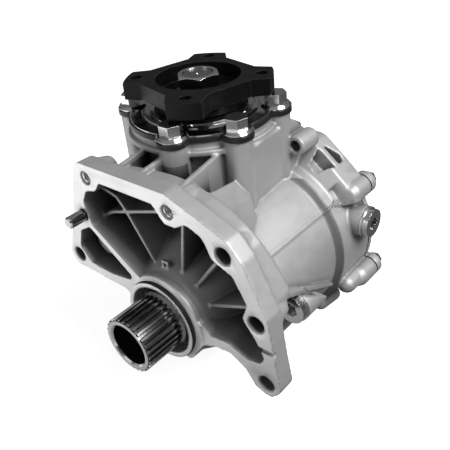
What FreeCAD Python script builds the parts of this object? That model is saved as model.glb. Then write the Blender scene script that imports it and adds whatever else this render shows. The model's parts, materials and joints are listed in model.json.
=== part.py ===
import FreeCAD, Part
import Sketcher
import math
import os
from FreeCAD import Vector, Rotation, Placement

# Transverse power transfer unit: hollow splined input shaft along Y, output flange facing up along Z.
# Origin: input axis in the plane of the mating face. The housing lies on the +Y side of that face.

doc = FreeCAD.newDocument("transfer_case")
sheet = doc.addObject("Spreadsheet::Sheet", "Sizes")

SIZES = {
    # Shared fits
    "run_clearance": 0.05,
    "bolt_clearance": 0.5,
    # Mating plate
    "plate_thickness": 13.0,
    "plate_corner": 7.0,
    "mount_thread_radius": 4.25,
    "mount_hole_radius": 5.5,
    "mount_chamfer": 0.9,
    "mount_thread_depth": 18.0,
    "mount_hole_depth": 20.0,
    "corner_boss_end": 26.0,
    "dowel_radius": 4.5,
    "dowel_length": 26.0,
    "dowel_stand": 14.0,
    "dowel_step": 0.05,
    "dowel_neck": 0.3,
    "dowel_neck_width": 1.0,
    "wall": 5.5,
    "bell_depth": 52.0,
    "bell_front_radius": 118.0,
    "mount_boss_radius": 9.0,
    "mount_boss_end": 24.0,
    "bracket_start": 131.0,
    "bracket_reach": 79.0,
    "bracket_lean": 50.0,
    "window_depth": 12.0,
    "bracket_foot_radius": 67.0,
    "bracket_foot_slope": 1.2,
    "ear_boss_radius": 7.6,
    "ear_boss_start": 121.0,
    "ear_boss_end": 142.0,
    "ear_thread_radius": 4.25,
    "ear_thread_depth": 17.0,
    "gusset_thickness": 3.2,
    "gusset_height": 46.8,
    "gusset_slope": 0.55,
    "web_offset": 7.5,
    "cavity_depth": 41.0,
    "pocket_depth": 24.0,
    "rib_thickness": 3.6,
    "cavity_rib_thickness": 2.8,
    "cavity_rib_crest": 12.0,
    "vent_groove_length": 18.0,
    "vent_groove_width": 3.4,
    "vent_groove_depth": 2.2,
    "pocket_boss_radius": 11.0,
    "pocket_boss_start": 11.0,
    "tab_width": 7.0,
    "tab_thickness": 3.0,
    "tab_height": 10.0,
    "tab_hole_radius": 1.3,
    # Nose and hub round the input shaft
    "nose_reach": 6.0,
    "nose_radius": 30.1,
    "nose_bore": 26.5,
    "nose_base_radius": 32.6,
    "ring_cord": 1.4,
    "ring_groove_start": 5.2,
    "ring_groove_width": 3.0,
    "hub_front_radius": 33.0,
    "hub_rear_radius": 50.0,
    # Barrel about the input axis
    "barrel_radius": 63.5,
    "barrel_end": 119.6,
    "rear_radius": 67.9,
    "rear_start": 123.4,
    "joint_plane": 162.0,
    "chamber_radius": 58.0,
    "chamber_rear_radius": 62.0,
    "chamber_start": 70.0,
    "parting_angle": 37.1,
    "parting_start": 42.0,
    "parting_width": 0.9,
    "parting_gap": 1.1,
    "parting_stand": 0.7,
    "parting_foot_width": 6.0,
    # Output axis and tower
    "output_offset": 33.1,
    "output_distance": 91.9,
    "tower_radius": 46.5,
    "tower_foot": 16.0,
    "tower_toe": 14.0,
    "tower_rim_radius": 54.6,
    "tower_rim_thickness": 4.4,
    "tower_rim_top": 105.4,
    "tower_collar_radius": 51.5,
    "tower_top": 110.6,
    "column_radius": 10.0,
    "column_thread_depth": 20.0,
    "cup_bore_radius": 36.0,
    "cup_floor": 62.0,
    "cup_floor_bore": 29.0,
    # Retainer stack
    "gasket_thickness": 3.4,
    "gasket_overhang": 1.0,
    "retainer_thickness": 1.4,
    "retainer_edge_radius": 51.8,
    "retainer_ring_radius": 41.0,
    "retainer_ring_height": 1.0,
    "retainer_hub_radius": 37.2,
    "retainer_hub_height": 2.0,
    "retainer_wall": 2.0,
    "retainer_bolt_circle": 53.5,
    "retainer_ear_radius": 10.2,
    "bolt_shank": 5.0,
    "bolt_grip": 24.0,
    "bolt_flange_radius": 11.2,
    "bolt_flange_height": 2.0,
    "bolt_hex_flats": 14.0,
    "bolt_hex_height": 7.4,
    # Output flange
    "flange_top": 138.8,
    "flange_thickness": 12.0,
    "flange_radius": 53.0,
    "flange_waist": 37.5,
    "flange_waist_angle": 24.0,
    "flange_lug_angle": 34.0,
    "flange_bolt_circle": 45.0,
    "flange_hole_radius": 4.25,
    "flange_turn": 31.8,
    "dish_radius": 30.5,
    "dish_depth": 11.0,
    "nut_seat_radius": 20.0,
    "nut_seat_depth": 13.5,
    "flange_hub_radius": 31.5,
    "flange_hub_end": 119.0,
    "sleeve_radius": 25.0,
    "pinion_spline_radius": 14.0,
    "washer_thickness": 2.5,
    "washer_radius": 18.0,
    "nut_flats": 28.0,
    "nut_height": 13.0,
    "stud_radius": 11.0,
    "stud_stand": 1.0,
    # Pinion
    "mesh_height": 34.0,
    "ring_teeth": 36.0,
    "pinion_teeth": 14.0,
    "tooth_addendum": 1.3,
    "tooth_dedendum": 1.9,
    "tooth_share": 0.34,
    "tooth_tip_share": 0.62,
    "tooth_inner": 44.0,
    "tooth_outer": 51.0,
    "pinion_tooth_length": 13.0,
    "tooth_root_spread": 0.25,
    "tooth_sink": 0.4,
    "neck_radius": 11.0,
    "journal_radius": 17.5,
    "head_bearing_height": 18.0,
    "tail_bearing_height": 15.0,
    "sleeve_gap": 5.0,
    # Input shaft
    "spline_reach": 36.0,
    "spline_radius": 20.5,
    "spline_root": 19.1,
    "spline_root_share": 0.56,
    "spline_tip_share": 0.36,
    "spline_count": 28.0,
    "spline_length": 30.0,
    "bore_radius": 15.25,
    "seal_journal": 21.5,
    "shaft_journal": 23.0,
    "shaft_body": 22.0,
    "shaft_end": 173.0,
    "front_bearing_start": 16.0,
    "bearing_width": 17.0,
    "race_inset": 1.5,
    "race_share": 0.24,
    "race_taper": 0.10,
    "roller_inset": 2.4,
    "roller_clearance": 0.75,
    "roller_pitch": 1.9,
    "bearing_radius": 34.0,
    "rear_bearing_start": 142.0,
    "input_seal_start": 3.0,
    "seal_width": 8.0,
    "seal_lip": 1.2,
    "output_seal_width": 10.0,
    "output_seal_lip": 1.4,
    # Ring gear
    "ring_face": 107.0,
    "ring_thickness": 9.0,
    "ring_outer": 53.0,
    "ring_inner": 33.0,
    "carrier_radius": 48.0,
    "carrier_thickness": 8.0,
    "ring_bolt_circle": 40.5,
    "ring_bolt_count": 10.0,
    "ring_bolt_radius": 4.0,
    "ring_bolt_head": 6.5,
    "ring_bolt_head_height": 5.0,
    "ring_thread_depth": 7.0,
    # Rear cover
    "cover_thickness": 7.0,
    "cover_hub_radius": 41.0,
    "cover_hub_reach": 24.0,
    "cover_nose_radius": 33.0,
    "cover_nose_end": 178.0,
    "cover_gasket_thickness": 0.8,
    "cover_bolt_circle": 74.0,
    "cover_boss_radius": 9.0,
    "cover_boss_length": 16.0,
    "cover_boss_tail": 20.0,
    "cover_boss_tail_radius": 1.0,
    "cover_bolt_count": 6.0,
    "cover_bolt_angle": 37.0,
    "cover_bolt_shank": 4.0,
    "cover_thread_depth": 19.0,
    "cover_bolt_length": 24.0,
    "cover_skirt_radius": 8.0,
    "cover_skirt_height": 1.4,
    "cover_hex_flats": 10.0,
    "cover_hex_height": 5.5,
    "rear_seal_radius": 28.0,
    # Plugs and breather
    "plug_radius": 11.0,
    "plug_head": 4.5,
    "plug_thread_radius": 8.5,
    "plug_thread_length": 11.0,
    "plug_socket_flats": 10.0,
    "plug_socket_depth": 7.0,
    "plug_washer_thickness": 1.6,
    "plug_boss_radius": 12.0,
    "filler_face": 78.0,
    "filler_distance": 149.0,
    "filler_height": 23.0,
    "drain_face": 52.0,
    "drain_across": 68.2,
    "drain_height": 1.8,
    "drain_boss_end": 80.0,
    "drain_thread_depth": 15.0,
    "drain_passage_radius": 4.0,
}


class Size:
    """A length from the sheet, or a sum made of such lengths, with its formula and its value."""

    def __init__(self, text, value):
        self.text = text
        self.value = value

    def join(self, other, sign, value, swap=False):
        text = other.text if isinstance(other, Size) else repr(float(other))
        pair = (text, self.text) if swap else (self.text, text)
        return Size("(" + pair[0] + " " + sign + " " + pair[1] + ")", value)

    def __add__(self, other):
        return self.join(other, "+", self.value + number(other))

    def __radd__(self, other):
        return self.join(other, "+", self.value + number(other), True)

    def __sub__(self, other):
        return self.join(other, "-", self.value - number(other))

    def __rsub__(self, other):
        return self.join(other, "-", number(other) - self.value, True)

    def __mul__(self, other):
        return self.join(other, "*", self.value * number(other))

    def __rmul__(self, other):
        return self.join(other, "*", self.value * number(other), True)

    def __truediv__(self, other):
        return self.join(other, "/", self.value / number(other))

    def __neg__(self):
        return Size("(0 - " + self.text + ")", -self.value)


def number(size):
    return size.value if isinstance(size, Size) else float(size)


def bind(thing, name, size):
    """Sets a property to a size and keeps its formula, so that it follows the sheet."""
    if isinstance(size, Size):
        thing.setExpression(name, size.text)
    else:
        thing.setExpression(name, repr(float(size)))


class Sheet:
    """Reads a cell of the sheet by its alias."""

    def __getattr__(self, alias):
        return Size("Sizes." + alias, SIZES[alias])


for row, (alias, value) in enumerate(SIZES.items(), start=1):
    sheet.set("A" + str(row), alias.replace("_", " "))
    sheet.set("B" + str(row), repr(value))
    sheet.setAlias("B" + str(row), alias)
doc.recompute()
v = Sheet()

TURN = {
    "+Z": Rotation(),
    "-Z": Rotation(Vector(1, 0, 0), 180),
    "+Y": Rotation(Vector(1, 0, 0), -90),
    "-Y": Rotation(Vector(1, 0, 0), 90),
    "+X": Rotation(Vector(0, 1, 0), 90),
    "-X": Rotation(Vector(0, 1, 0), -90),
}


def place(thing, base, rotation=None):
    """Puts an object at a place whose three coordinates follow the sheet."""
    thing.Placement = Placement(Vector(*[number(c) for c in base]), rotation or Rotation())
    for letter, c in zip("xyz", base):
        bind(thing, "Placement.Base." + letter, c)
    return thing


def cylinder(name, radius, length, base, axis="+Z"):
    thing = doc.addObject("Part::Cylinder", name)
    bind(thing, "Radius", radius)
    bind(thing, "Height", length)
    return place(thing, base, TURN[axis])


def cone(name, radius, end_radius, length, base, axis="+Z"):
    thing = doc.addObject("Part::Cone", name)
    bind(thing, "Radius1", radius)
    bind(thing, "Radius2", end_radius)
    bind(thing, "Height", length)
    return place(thing, base, TURN[axis])


def box(name, width, depth, height, base, rotation=None):
    thing = doc.addObject("Part::Box", name)
    bind(thing, "Length", width)
    bind(thing, "Width", depth)
    bind(thing, "Height", height)
    return place(thing, base, rotation)


def hexagon(name, flats, height, base, axis="+Z", turn=0.0):
    """A six-sided prism measured across its flats."""
    thing = doc.addObject("Part::Prism", name)
    thing.Polygon = 6
    bind(thing, "Circumradius", flats / math.sqrt(3))
    bind(thing, "Height", height)
    return place(thing, base, TURN[axis] * Rotation(Vector(0, 0, 1), turn))


def chain(kind, name, base, tools):
    """Applies one boolean after another, so that each works on two plain shapes."""
    for i, tool in enumerate(tools):
        last = i == len(tools) - 1
        thing = doc.addObject(kind, name if last else name + "_step_" + str(i))
        thing.Base = base
        thing.Tool = tool
        thing.Refine = False
        base = thing
    return base


def group(name, shapes):
    """Separate solids kept together, as one tool or as one sub-part."""
    thing = doc.addObject("Part::Compound", name)
    thing.Links = shapes
    return thing


def fuse(name, shapes):
    return chain("Part::Fuse", name, shapes[0], shapes[1:])


def cut(name, base, tools):
    return chain("Part::Cut", name, base, tools)


def common(name, first, second):
    thing = doc.addObject("Part::Common", name)
    thing.Base = first
    thing.Tool = second
    return thing


def feature(name, shape):
    thing = doc.addObject("Part::Feature", name)
    thing.Shape = shape
    return thing


def plane_of(body, role):
    for item in body.Origin.OriginFeatures:
        if item.Role == role:
            return item


def profile_sketch(body, name, points, role):
    """A closed outline whose corner coordinates each follow the sheet."""
    sketch = body.newObject("Sketcher::SketchObject", name)
    sketch.AttachmentSupport = (plane_of(body, role), [""])
    sketch.MapMode = "FlatFace"
    count = len(points)
    corners = [Vector(number(p[0]), number(p[1]), 0) for p in points]
    for i in range(count):
        sketch.addGeometry(Part.LineSegment(corners[i], corners[(i + 1) % count]), False)
    for i in range(count):
        sketch.addConstraint(Sketcher.Constraint("Coincident", i, 2, (i + 1) % count, 1))
    for i, point in enumerate(points):
        for kind, size in (("DistanceX", point[0]), ("DistanceY", point[1])):
            made = sketch.addConstraint(Sketcher.Constraint(kind, -1, 1, i, 1, number(size)))
            bind(sketch, "Constraints[" + str(made) + "]", size)
    return sketch


def revolve(name, points, about="Y"):
    """A turned body. About Y the points are radius and distance, about Z radius and height."""
    body = doc.addObject("PartDesign::Body", name)
    sketch = profile_sketch(body, name + "_profile", points, "XY_Plane" if about == "Y" else "XZ_Plane")
    turned = body.newObject("PartDesign::Revolution", name + "_turned")
    turned.Profile = sketch
    turned.ReferenceAxis = (sketch, ["V_Axis"])
    turned.Angle = 360
    if about == "Z":
        place(body, (-v.output_offset, v.output_distance, 0))
    return body


def tube(name, inner, outer, start, end, about="Y"):
    return revolve(name, [(inner, start), (outer, start), (outer, end), (inner, end)], about)


def rounded_wire(points, radius, y=0.0):
    """A closed wire in a plane of constant Y with an arc at each corner that has room for it."""
    count = len(points)
    edges = []
    ends = []
    for i in range(count):
        before = Vector(points[i - 1][0], y, points[i - 1][1])
        corner = Vector(points[i][0], y, points[i][1])
        after = Vector(points[(i + 1) % count][0], y, points[(i + 1) % count][1])
        back = (before - corner).normalize()
        ahead = (after - corner).normalize()
        half = back.getAngle(ahead) / 2
        room = 0.45 * min((before - corner).Length, (after - corner).Length)
        reach = min(radius / math.tan(half), room)
        arc_radius = reach * math.tan(half)
        start = corner + back * reach
        end = corner + ahead * reach
        centre = corner + (back + ahead).normalize() * (arc_radius / math.sin(half))
        middle = centre + (corner - centre).normalize() * arc_radius
        ends.append((start, end))
        edges.append(Part.Arc(start, middle, end).toShape())
    loop = []
    for i in range(count):
        loop.append(edges[i])
        loop.append(Part.LineSegment(ends[i][1], ends[(i + 1) % count][0]).toShape())
    return Part.Wire(loop)


def slab(name, points, radius, start, depth):
    """A flat casting wall: an outline in X and Z pushed along Y."""
    face = Part.Face(rounded_wire(points, radius, start))
    return feature(name, face.extrude(Vector(0, depth, 0)))


def polar(radius, angle):
    """A place on a circle about the input axis, from +X towards +Z."""
    turn = math.radians(angle)
    return number(radius) * math.cos(turn), number(radius) * math.sin(turn)


def about_output(radius, angle):
    """A place on a circle about the output axis, from -Y towards +X."""
    turn = math.radians(angle)
    x = -v.output_offset + radius * math.sin(turn)
    y = v.output_distance - radius * math.cos(turn)
    return x, y


def retainer_places():
    """Centres of the retainer's bolts, in X and Y."""
    return [about_output(v.retainer_bolt_circle, angle) for angle in RETAINER_ANGLES]


def cover_places():
    """Centres of the rear cover's bolts, in X and Z."""
    count = int(SIZES["cover_bolt_count"])
    return [polar(v.cover_bolt_circle, SIZES["cover_bolt_angle"] + 360 * i / count) for i in range(count)]


def ring_places():
    """Centres of the ring gear's bolts, in X and Z."""
    count = int(SIZES["ring_bolt_count"])
    return [polar(v.ring_bolt_circle, 360 * i / count) for i in range(count)]


# Outline of the mating plate, in X and Z on its front face
PLATE_OUTLINE = [
    (-66, 103), (17, 103), (38, 95.5), (64, 85.5), (74, 74), (90, 40), (94, 8), (97.5, -14),
    (89, -24.5), (77, -20), (70, -9.5), (58, -2.5), (46, -4), (34, -9), (20, -30), (-20, -30),
    (-37, 6.5), (-97, 8), (-101, 17), (-84, 59), (-73, 92),
]
CAVITY_OUTLINE = [
    (-68, 71), (-62, 81), (-51, 84), (-45, 92), (5, 92), (14, 80), (23, 80.5), (33, 86), (45, 81),
    (51, 68), (66, 62), (75, 45), (70.5, 33), (80, 20), (85.5, 8), (82, 2), (72, 0), (56, 5.5),
    (41, 3.5), (28, 12), (-23, 25), (-64, 53),
]
POCKET_OUTLINE = [
    (-80, 43), (-68, 50), (-30, 22), (-32, 18), (-54, 14.5), (-77, 15.5), (-86, 27),
]
# Outline of the bell walls behind the plate
BELL_FRONT = [
    (-70, 88), (-50, 98), (10, 98), (34, 93), (60, 84), (70, 76), (86, 42), (89, 20), (88, 4),
    (78, -8), (60, -3), (46, -5), (28, -20), (0, -34), (-28, -22), (-40, 9.5), (-88, 10.5),
    (-93, 20), (-82, 50),
]
# Threaded and plain holes in the plate, in X and Z
THREADED_MOUNTS = [(-59, 92), (18, 90)]
BLIND_MOUNTS = [(60, 74), (81, 33)]
THROUGH_MOUNT = (86, -13)
CORNER_MOUNT = (-90, 18)
DOWEL_AT = (-72, 59)
EAR_AT = (27, 86)
# Three points on the sloping back of the bell's low right corner
CORNER_SLOPE = [(88, 15, 25), (80, 15, -8), (66, 50, 8)]
# Centre lines of the ribs in the bell, in X and Z
CAVITY_RIBS = [
    [(-72, 79), (-55, 78), (-46, 75.5), (-38, 66), (-10, 20)],
    [(-74, 44), (-66, 54), (-54, 61), (-40, 65.5), (14, 83)],
    [(18, 82), (7, 18)],
    [(56, 73), (14, 18)],
    [(76, 35), (22, 12)],
]
# Corners of the two windows on the flank of the bracket, in X and Y
WINDOWS = [
    [(32, 145), (36, 136), (42, 134.5), (47, 145.5)],
    [(31, 150.5), (42, 158.5), (46, 156.5), (46.5, 151)],
]
# Bolts round the output axis, from -Y towards +X, and the heights that their columns start from
RETAINER_ANGLES = [21, 68, 122.4, 180, 238, 294.8]
COLUMN_FEET = [45, 30, 30, 45, 45, 45]
# Upright webs over the bell, each from its start to its end in X and Y
TOP_RIBS = [((-34.5, 10), (-44, 60)), ((-15, 10), (-22, 60)), ((21, 10), (8, 70))]
# Outline of the bracket's block behind its two corners on the flank, in X and Z
BRACKET_LEFT = [(4, 60), (7, 81), (24, 81)]
BRACKET_RIGHT = [(59, 53), (60.5, 45), (54, 38)]
# Edge of the sloping gusset beside the barrel, in X and Y
GUSSET_EDGE = [(75.8, 20), (74.4, 38.6), (70.9, 66.5), (66.4, 111), (52, 111), (52, 20)]
# Flare of the parting line beyond the rear shoulder, as a distance along Y and its rise
PARTING_FLARE = [(124, 0), (140, 0.8), (152, 4.4), (161.9, 6.6)]
POCKET_BOSS_AT = (-67.5, 31.5)
TAB_AT = (-7, 9, 30)
TAB_HOLE_AT = (-3.5, 36.6)
VENT_GROOVE_AT = (82, 13.4)


def mount_bosses():
    """Round bosses along Y behind the holes of the plate, each narrower at its far end."""
    bosses = []
    start = v.plate_thickness - 1
    for i, (x, z) in enumerate(THREADED_MOUNTS + BLIND_MOUNTS):
        bosses.append(cone("mount_boss_" + str(i), v.mount_boss_radius + 1, v.mount_boss_radius - 2,
                           v.mount_boss_end - start, (x, start, z), "+Y"))
    x, z = CORNER_MOUNT
    bosses.append(cylinder("corner_boss", v.mount_boss_radius, v.corner_boss_end - start,
                           (x, start, z), "+Y"))
    return group("mount_bosses", bosses)


def prism(points, push):
    """A flat outline pushed straight along a vector."""
    return Part.Face(Part.makePolygon(points + points[:1])).extrude(push)


def flank_point(x, y, out=0.0):
    """A point on the sloping flank of the bracket, moved outwards by a distance."""
    lean = math.radians(SIZES["bracket_lean"])
    z = (SIZES["bracket_reach"] - x * math.cos(lean)) / math.sin(lean)
    return Vector(x + out * math.cos(lean), y, z + out * math.sin(lean))


def bracket():
    """Mounting bracket on the rear shoulder: it rises from the barrel and has two windows beside a web."""
    flank = [(p.x, p.z) for p in (flank_point(28, 0), flank_point(49, 0))]
    start = v.bracket_start
    length = v.joint_plane - start
    block = slab("bracket_block", BRACKET_LEFT + flank + BRACKET_RIGHT, 4, number(start), number(length))
    far_radius = v.bracket_foot_radius + v.bracket_foot_slope * length
    rise = cone("bracket_rise", v.bracket_foot_radius, far_radius, length, (0, start, 0), "+Y")
    windows = []
    lean = math.radians(SIZES["bracket_lean"])
    inward = Vector(-math.cos(lean), 0, -math.sin(lean)) * (SIZES["window_depth"] + 2)
    for i, corners in enumerate(WINDOWS):
        points = [flank_point(x, y, 2.0) for x, y in corners]
        windows.append(feature("bracket_window_" + str(i), prism(points, inward)))
    return cut("bracket", common("bracket_body", block, rise), windows)


def leaf_gusset():
    """Sloping web from the back of the plate along the side of the barrel, over the drain boss."""
    points = [Vector(x, y, SIZES["gusset_height"] - SIZES["gusset_slope"] * y) for x, y in GUSSET_EDGE]
    return feature("leaf_gusset", prism(points, Vector(0, 0, -SIZES["gusset_thickness"])))


def parting_directions():
    """Directions out from the input axis at the parting line, and across the line."""
    angle = math.radians(SIZES["parting_angle"])
    return Vector(math.cos(angle), 0, math.sin(angle)), Vector(-math.sin(angle), 0, math.cos(angle))


def parting_ridges():
    """The double line that the parting of the mould leaves along the barrel and up the bracket's foot."""
    out, side = parting_directions()
    low = SIZES["barrel_radius"] - 2
    on_barrel = SIZES["barrel_radius"] + SIZES["parting_stand"]
    on_rear = SIZES["rear_radius"] + SIZES["parting_stand"]
    first = SIZES["parting_start"]
    line = [(low, first), (on_barrel, first), (on_barrel, SIZES["barrel_end"])]
    line += [(on_rear + rise, y) for y, rise in PARTING_FLARE]
    line.append((low, PARTING_FLARE[-1][0]))
    width = SIZES["parting_width"]
    step = (width + SIZES["parting_gap"]) / 2
    ridges = []
    for shift in (-step, step):
        points = [out * r + side * (shift - width / 2) + Vector(0, y, 0) for r, y in line]
        ridges.append(prism(points, side * width))
    return feature("parting_ridges", Part.Compound(ridges))


def ridge_foot():
    """The solid flare under the rear half of the parting line."""
    out, side = parting_directions()
    rear = SIZES["rear_radius"]
    first, last = PARTING_FLARE[0][0], PARTING_FLARE[-1][0]
    line = [(rear - 4, first - 2)] + [(rear + rise, y) for y, rise in PARTING_FLARE] + [(rear - 4, last)]
    width = SIZES["parting_foot_width"]
    points = [out * r - side * (0.4 * width) + Vector(0, y, 0) for r, y in line]
    return feature("ridge_foot", prism(points, side * width))


def column_web():
    """Flat wall between the two columns that stand on the barrel."""
    flat = [Vector(number(x), number(y), 38) for x, y in retainer_places()[1:3]]
    across = (flat[1] - flat[0]).normalize()
    out = Vector(across.y, -across.x, 0) * SIZES["web_offset"]
    points = [flat[0] + out, flat[1] + out, flat[1] - out * 2, flat[0] - out * 2]
    return feature("column_web", prism(points, Vector(0, 0, SIZES["tower_rim_top"] - 42)))


def tower_gusset():
    """Sloping wall from the tower down to the rear shoulder."""
    side = [(118, 102), (131, 102), (147, 88), (147, 50), (118, 50)]
    return feature("tower_gusset", prism([Vector(10, y, z) for y, z in side], Vector(10, 0, 0)))


def corner_slope(name, inset):
    """Everything beyond the sloping back of the bell's low corner, moved inwards by a distance."""
    points = [Vector(*p) for p in CORNER_SLOPE]
    normal = (points[1] - points[0]).cross(points[2] - points[0]).normalize()
    along = (points[1] - points[0]).normalize()
    across = normal.cross(along)
    centre = points[0] - normal * inset
    reach = 120
    corners = [centre + (along * a + across * b) * reach for a, b in ((-1, -1), (1, -1), (1, 1), (-1, 1))]
    return feature(name, prism(corners, normal * reach / 2))


def bell_cone(name, inset, start):
    """The taper of the bell about the input axis, from a place on that axis, moved inwards by a distance."""
    length = v.bell_depth + 6 - v.plate_thickness
    slope = (v.bell_front_radius - v.barrel_radius + 2) / length
    ahead = v.plate_thickness - 2 - start
    return cone(name, v.bell_front_radius - inset + slope * ahead, v.barrel_radius - 2 - inset,
                length + ahead, (0, start, 0), "+Y")


def bell():
    """The tapering walls behind the plate, with the sloping low corner taken off."""
    start = v.plate_thickness - 2
    walls = slab("bell_walls", BELL_FRONT, 9, number(start), number(v.bell_depth + 4 - start))
    tapered = common("bell_tapered", walls, bell_cone("bell_taper", 0, start))
    return cut("bell", tapered, [corner_slope("bell_corner", 0.0)])


def barrel():
    """The round body about the input axis, from the nose to the joint of the rear cover."""
    return revolve("barrel", [
        (0, -v.nose_reach), (v.nose_radius, -v.nose_reach), (v.nose_radius, -1.5),
        (v.nose_base_radius, 0.0), (v.hub_front_radius, 6.0), (v.hub_rear_radius, v.cavity_depth),
        (v.barrel_radius, v.bell_depth), (v.barrel_radius, v.barrel_end),
        (v.rear_radius, v.rear_start), (v.rear_radius, v.joint_plane), (0, v.joint_plane),
    ])


def tower():
    """The round tower about the output axis, with its rim, its collar and the columns of its bolts."""
    x0 = -v.output_offset
    y0 = v.output_distance
    foot = v.tower_foot
    toe = v.tower_toe
    rim = v.tower_rim_top - v.tower_rim_thickness
    collar = v.tower_rim_top - 1
    columns = []
    for i, (x, y) in enumerate(retainer_places()):
        start = COLUMN_FEET[i]
        columns.append(cylinder("column_" + str(i), v.column_radius, v.tower_top - start, (x, y, start)))
    return [
        cylinder("tower", v.tower_radius, v.tower_top - foot, (x0, y0, foot)),
        cylinder("tower_collar", v.tower_collar_radius, v.tower_top - collar, (x0, y0, collar)),
        cone("tower_toe", v.tower_radius - toe, v.tower_radius, toe, (x0, y0, foot - toe)),
        cylinder("tower_rim", v.tower_rim_radius, v.tower_rim_thickness, (x0, y0, rim)),
        group("columns", columns),
    ]


def cover_bosses():
    """Bosses of the rear cover's bolts, and the taper that each one runs out in."""
    bosses = []
    tails = []
    start = v.joint_plane - v.cover_boss_length
    for i, (x, z) in enumerate(cover_places()):
        bosses.append(cylinder("cover_boss_" + str(i), v.cover_boss_radius, v.cover_boss_length,
                               (x, start, z), "+Y"))
        tails.append(cone("cover_boss_tail_" + str(i), v.cover_boss_tail_radius, v.cover_boss_radius,
                          v.cover_boss_tail, (x, start - v.cover_boss_tail, z), "+Y"))
    return [group("cover_bosses", bosses), group("cover_boss_tails", tails)]


def filler_seat():
    return v.filler_face - v.plug_head - v.plug_washer_thickness


def drain_seat():
    return v.drain_face + v.plug_head + v.plug_washer_thickness


def plug_bosses():
    """Bosses of the two plugs, and the boss with a thread on the bracket."""
    x, z = EAR_AT
    depth = 24
    return [
        cylinder("ear_boss", v.ear_boss_radius, v.ear_boss_end - v.ear_boss_start,
                 (x, v.ear_boss_start, z), "+Y"),
        cylinder("filler_boss", v.plug_boss_radius, depth,
                 (filler_seat() - depth, v.filler_distance, v.filler_height), "+X"),
        cylinder("drain_boss", v.plug_boss_radius, v.drain_boss_end - drain_seat(),
                 (v.drain_across, drain_seat(), v.drain_height), "+Y"),
    ]


def top_ribs():
    """Upright webs between the plate and the tower, over the bell."""
    made = []
    for i, (start, end) in enumerate(TOP_RIBS):
        run = math.hypot(end[0] - start[0], end[1] - start[1])
        turn = math.degrees(math.atan2(end[1] - start[1], end[0] - start[0]))
        made.append(box("top_rib_" + str(i), run, v.rib_thickness, 50, (start[0], start[1], 52),
                        Rotation(Vector(0, 0, 1), turn)))
    return made


def housing_outside():
    plate = slab("plate", PLATE_OUTLINE, SIZES["plate_corner"], 0, SIZES["plate_thickness"])
    parts = [plate, bell(), barrel()] + tower() + cover_bosses()
    parts += [mount_bosses(), bracket(), ridge_foot(), parting_ridges(), leaf_gusset(), column_web()]
    return parts + [tower_gusset()] + plug_bosses() + top_ribs()


def hub_core(name):
    """The hub about the input axis, which the open bell leaves standing."""
    return revolve(name, [
        (0, -v.nose_reach), (v.nose_base_radius, -v.nose_reach), (v.nose_base_radius, 0.0),
        (v.hub_front_radius, 6.0), (v.hub_rear_radius, v.cavity_depth), (0, v.cavity_depth),
    ])


def open_space(name, outline, corner, depth):
    """A space open at the mating face: its outline, held inside the taper of the bell's wall."""
    walls = slab(name + "_walls", outline, corner, -1, depth)
    return common(name + "_space", walls, bell_cone(name + "_taper", v.wall * 1.6, -1))


def bell_tab():
    """A small upright plate with a hole, on the hub."""
    x, z = TAB_HOLE_AT
    hole = cylinder("bell_tab_hole", v.tab_hole_radius, v.tab_thickness + 2, (x, TAB_AT[1] - 1, z), "+Y")
    return cut("bell_tab", box("bell_tab_plate", v.tab_width, v.tab_thickness, v.tab_height, TAB_AT), [hole])


def open_bell():
    """The cavity and the pocket in front, with the ribs, the tab and the hub left standing in them."""
    webs = [rib_wall("cavity_rib_" + str(i), path) for i, path in enumerate(CAVITY_RIBS)]
    standing = [hub_core("hub_keep"), corner_slope("cavity_corner", SIZES["wall"] - 1)]
    standing += [group("cavity_ribs", webs[:1]), group("cavity_cross_ribs", webs[1:]), bell_tab()]
    x, z = POCKET_BOSS_AT
    boss = cylinder("pocket_boss", v.pocket_boss_radius, v.pocket_depth, (x, v.pocket_boss_start, z), "+Y")
    cavity = open_space("cavity", CAVITY_OUTLINE, 5, SIZES["cavity_depth"])
    pocket = open_space("pocket", POCKET_OUTLINE, 4, SIZES["pocket_depth"])
    return [cut("cavity_open", cavity, standing),
            cut("pocket_open", pocket, [hub_core("pocket_hub_keep"), boss])]


def rib_wall(name, path):
    """A thin upright wall along a bent centre line, from the rib's crest to the back of the bell."""
    half = SIZES["cavity_rib_thickness"] / 2
    left = []
    right = []
    for i, (x, z) in enumerate(path):
        before = path[max(i - 1, 0)]
        after = path[min(i + 1, len(path) - 1)]
        run = math.hypot(after[0] - before[0], after[1] - before[1])
        across = (-(after[1] - before[1]) / run * half, (after[0] - before[0]) / run * half)
        left.append((x + across[0], z + across[1]))
        right.append((x - across[0], z - across[1]))
    corners = [Vector(x, SIZES["cavity_rib_crest"], z) for x, z in left + right[::-1]]
    return feature(name, prism(corners, Vector(0, 60, 0)))


def mount_hole(name, radius, depth, x, z):
    """A chamfered hole for a bolt, from the mating face into the plate."""
    hole = revolve(name, [
        (0, -1), (radius + v.mount_chamfer, -1), (radius + v.mount_chamfer, 0),
        (radius, v.mount_chamfer), (radius, depth), (0, depth),
    ])
    return place(hole, (x, 0, z))


def chamber():
    """The space about the input axis: seal bore, bearing seats and gear chamber."""
    front_end = v.front_bearing_start + v.bearing_width
    return revolve("chamber", [
        (0, -v.nose_reach - 1), (v.nose_bore, -v.nose_reach - 1), (v.nose_bore, v.front_bearing_start - 2),
        (v.bearing_radius - 4, v.front_bearing_start - 2), (v.bearing_radius - 4, v.front_bearing_start),
        (v.bearing_radius, v.front_bearing_start), (v.bearing_radius, front_end + 4),
        (v.chamber_radius - 18, front_end + 6), (v.chamber_radius, v.chamber_start),
        (v.chamber_radius, v.barrel_end), (v.chamber_rear_radius, v.rear_start),
        (v.chamber_rear_radius, v.joint_plane + 1), (0, v.joint_plane + 1),
    ])


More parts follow.
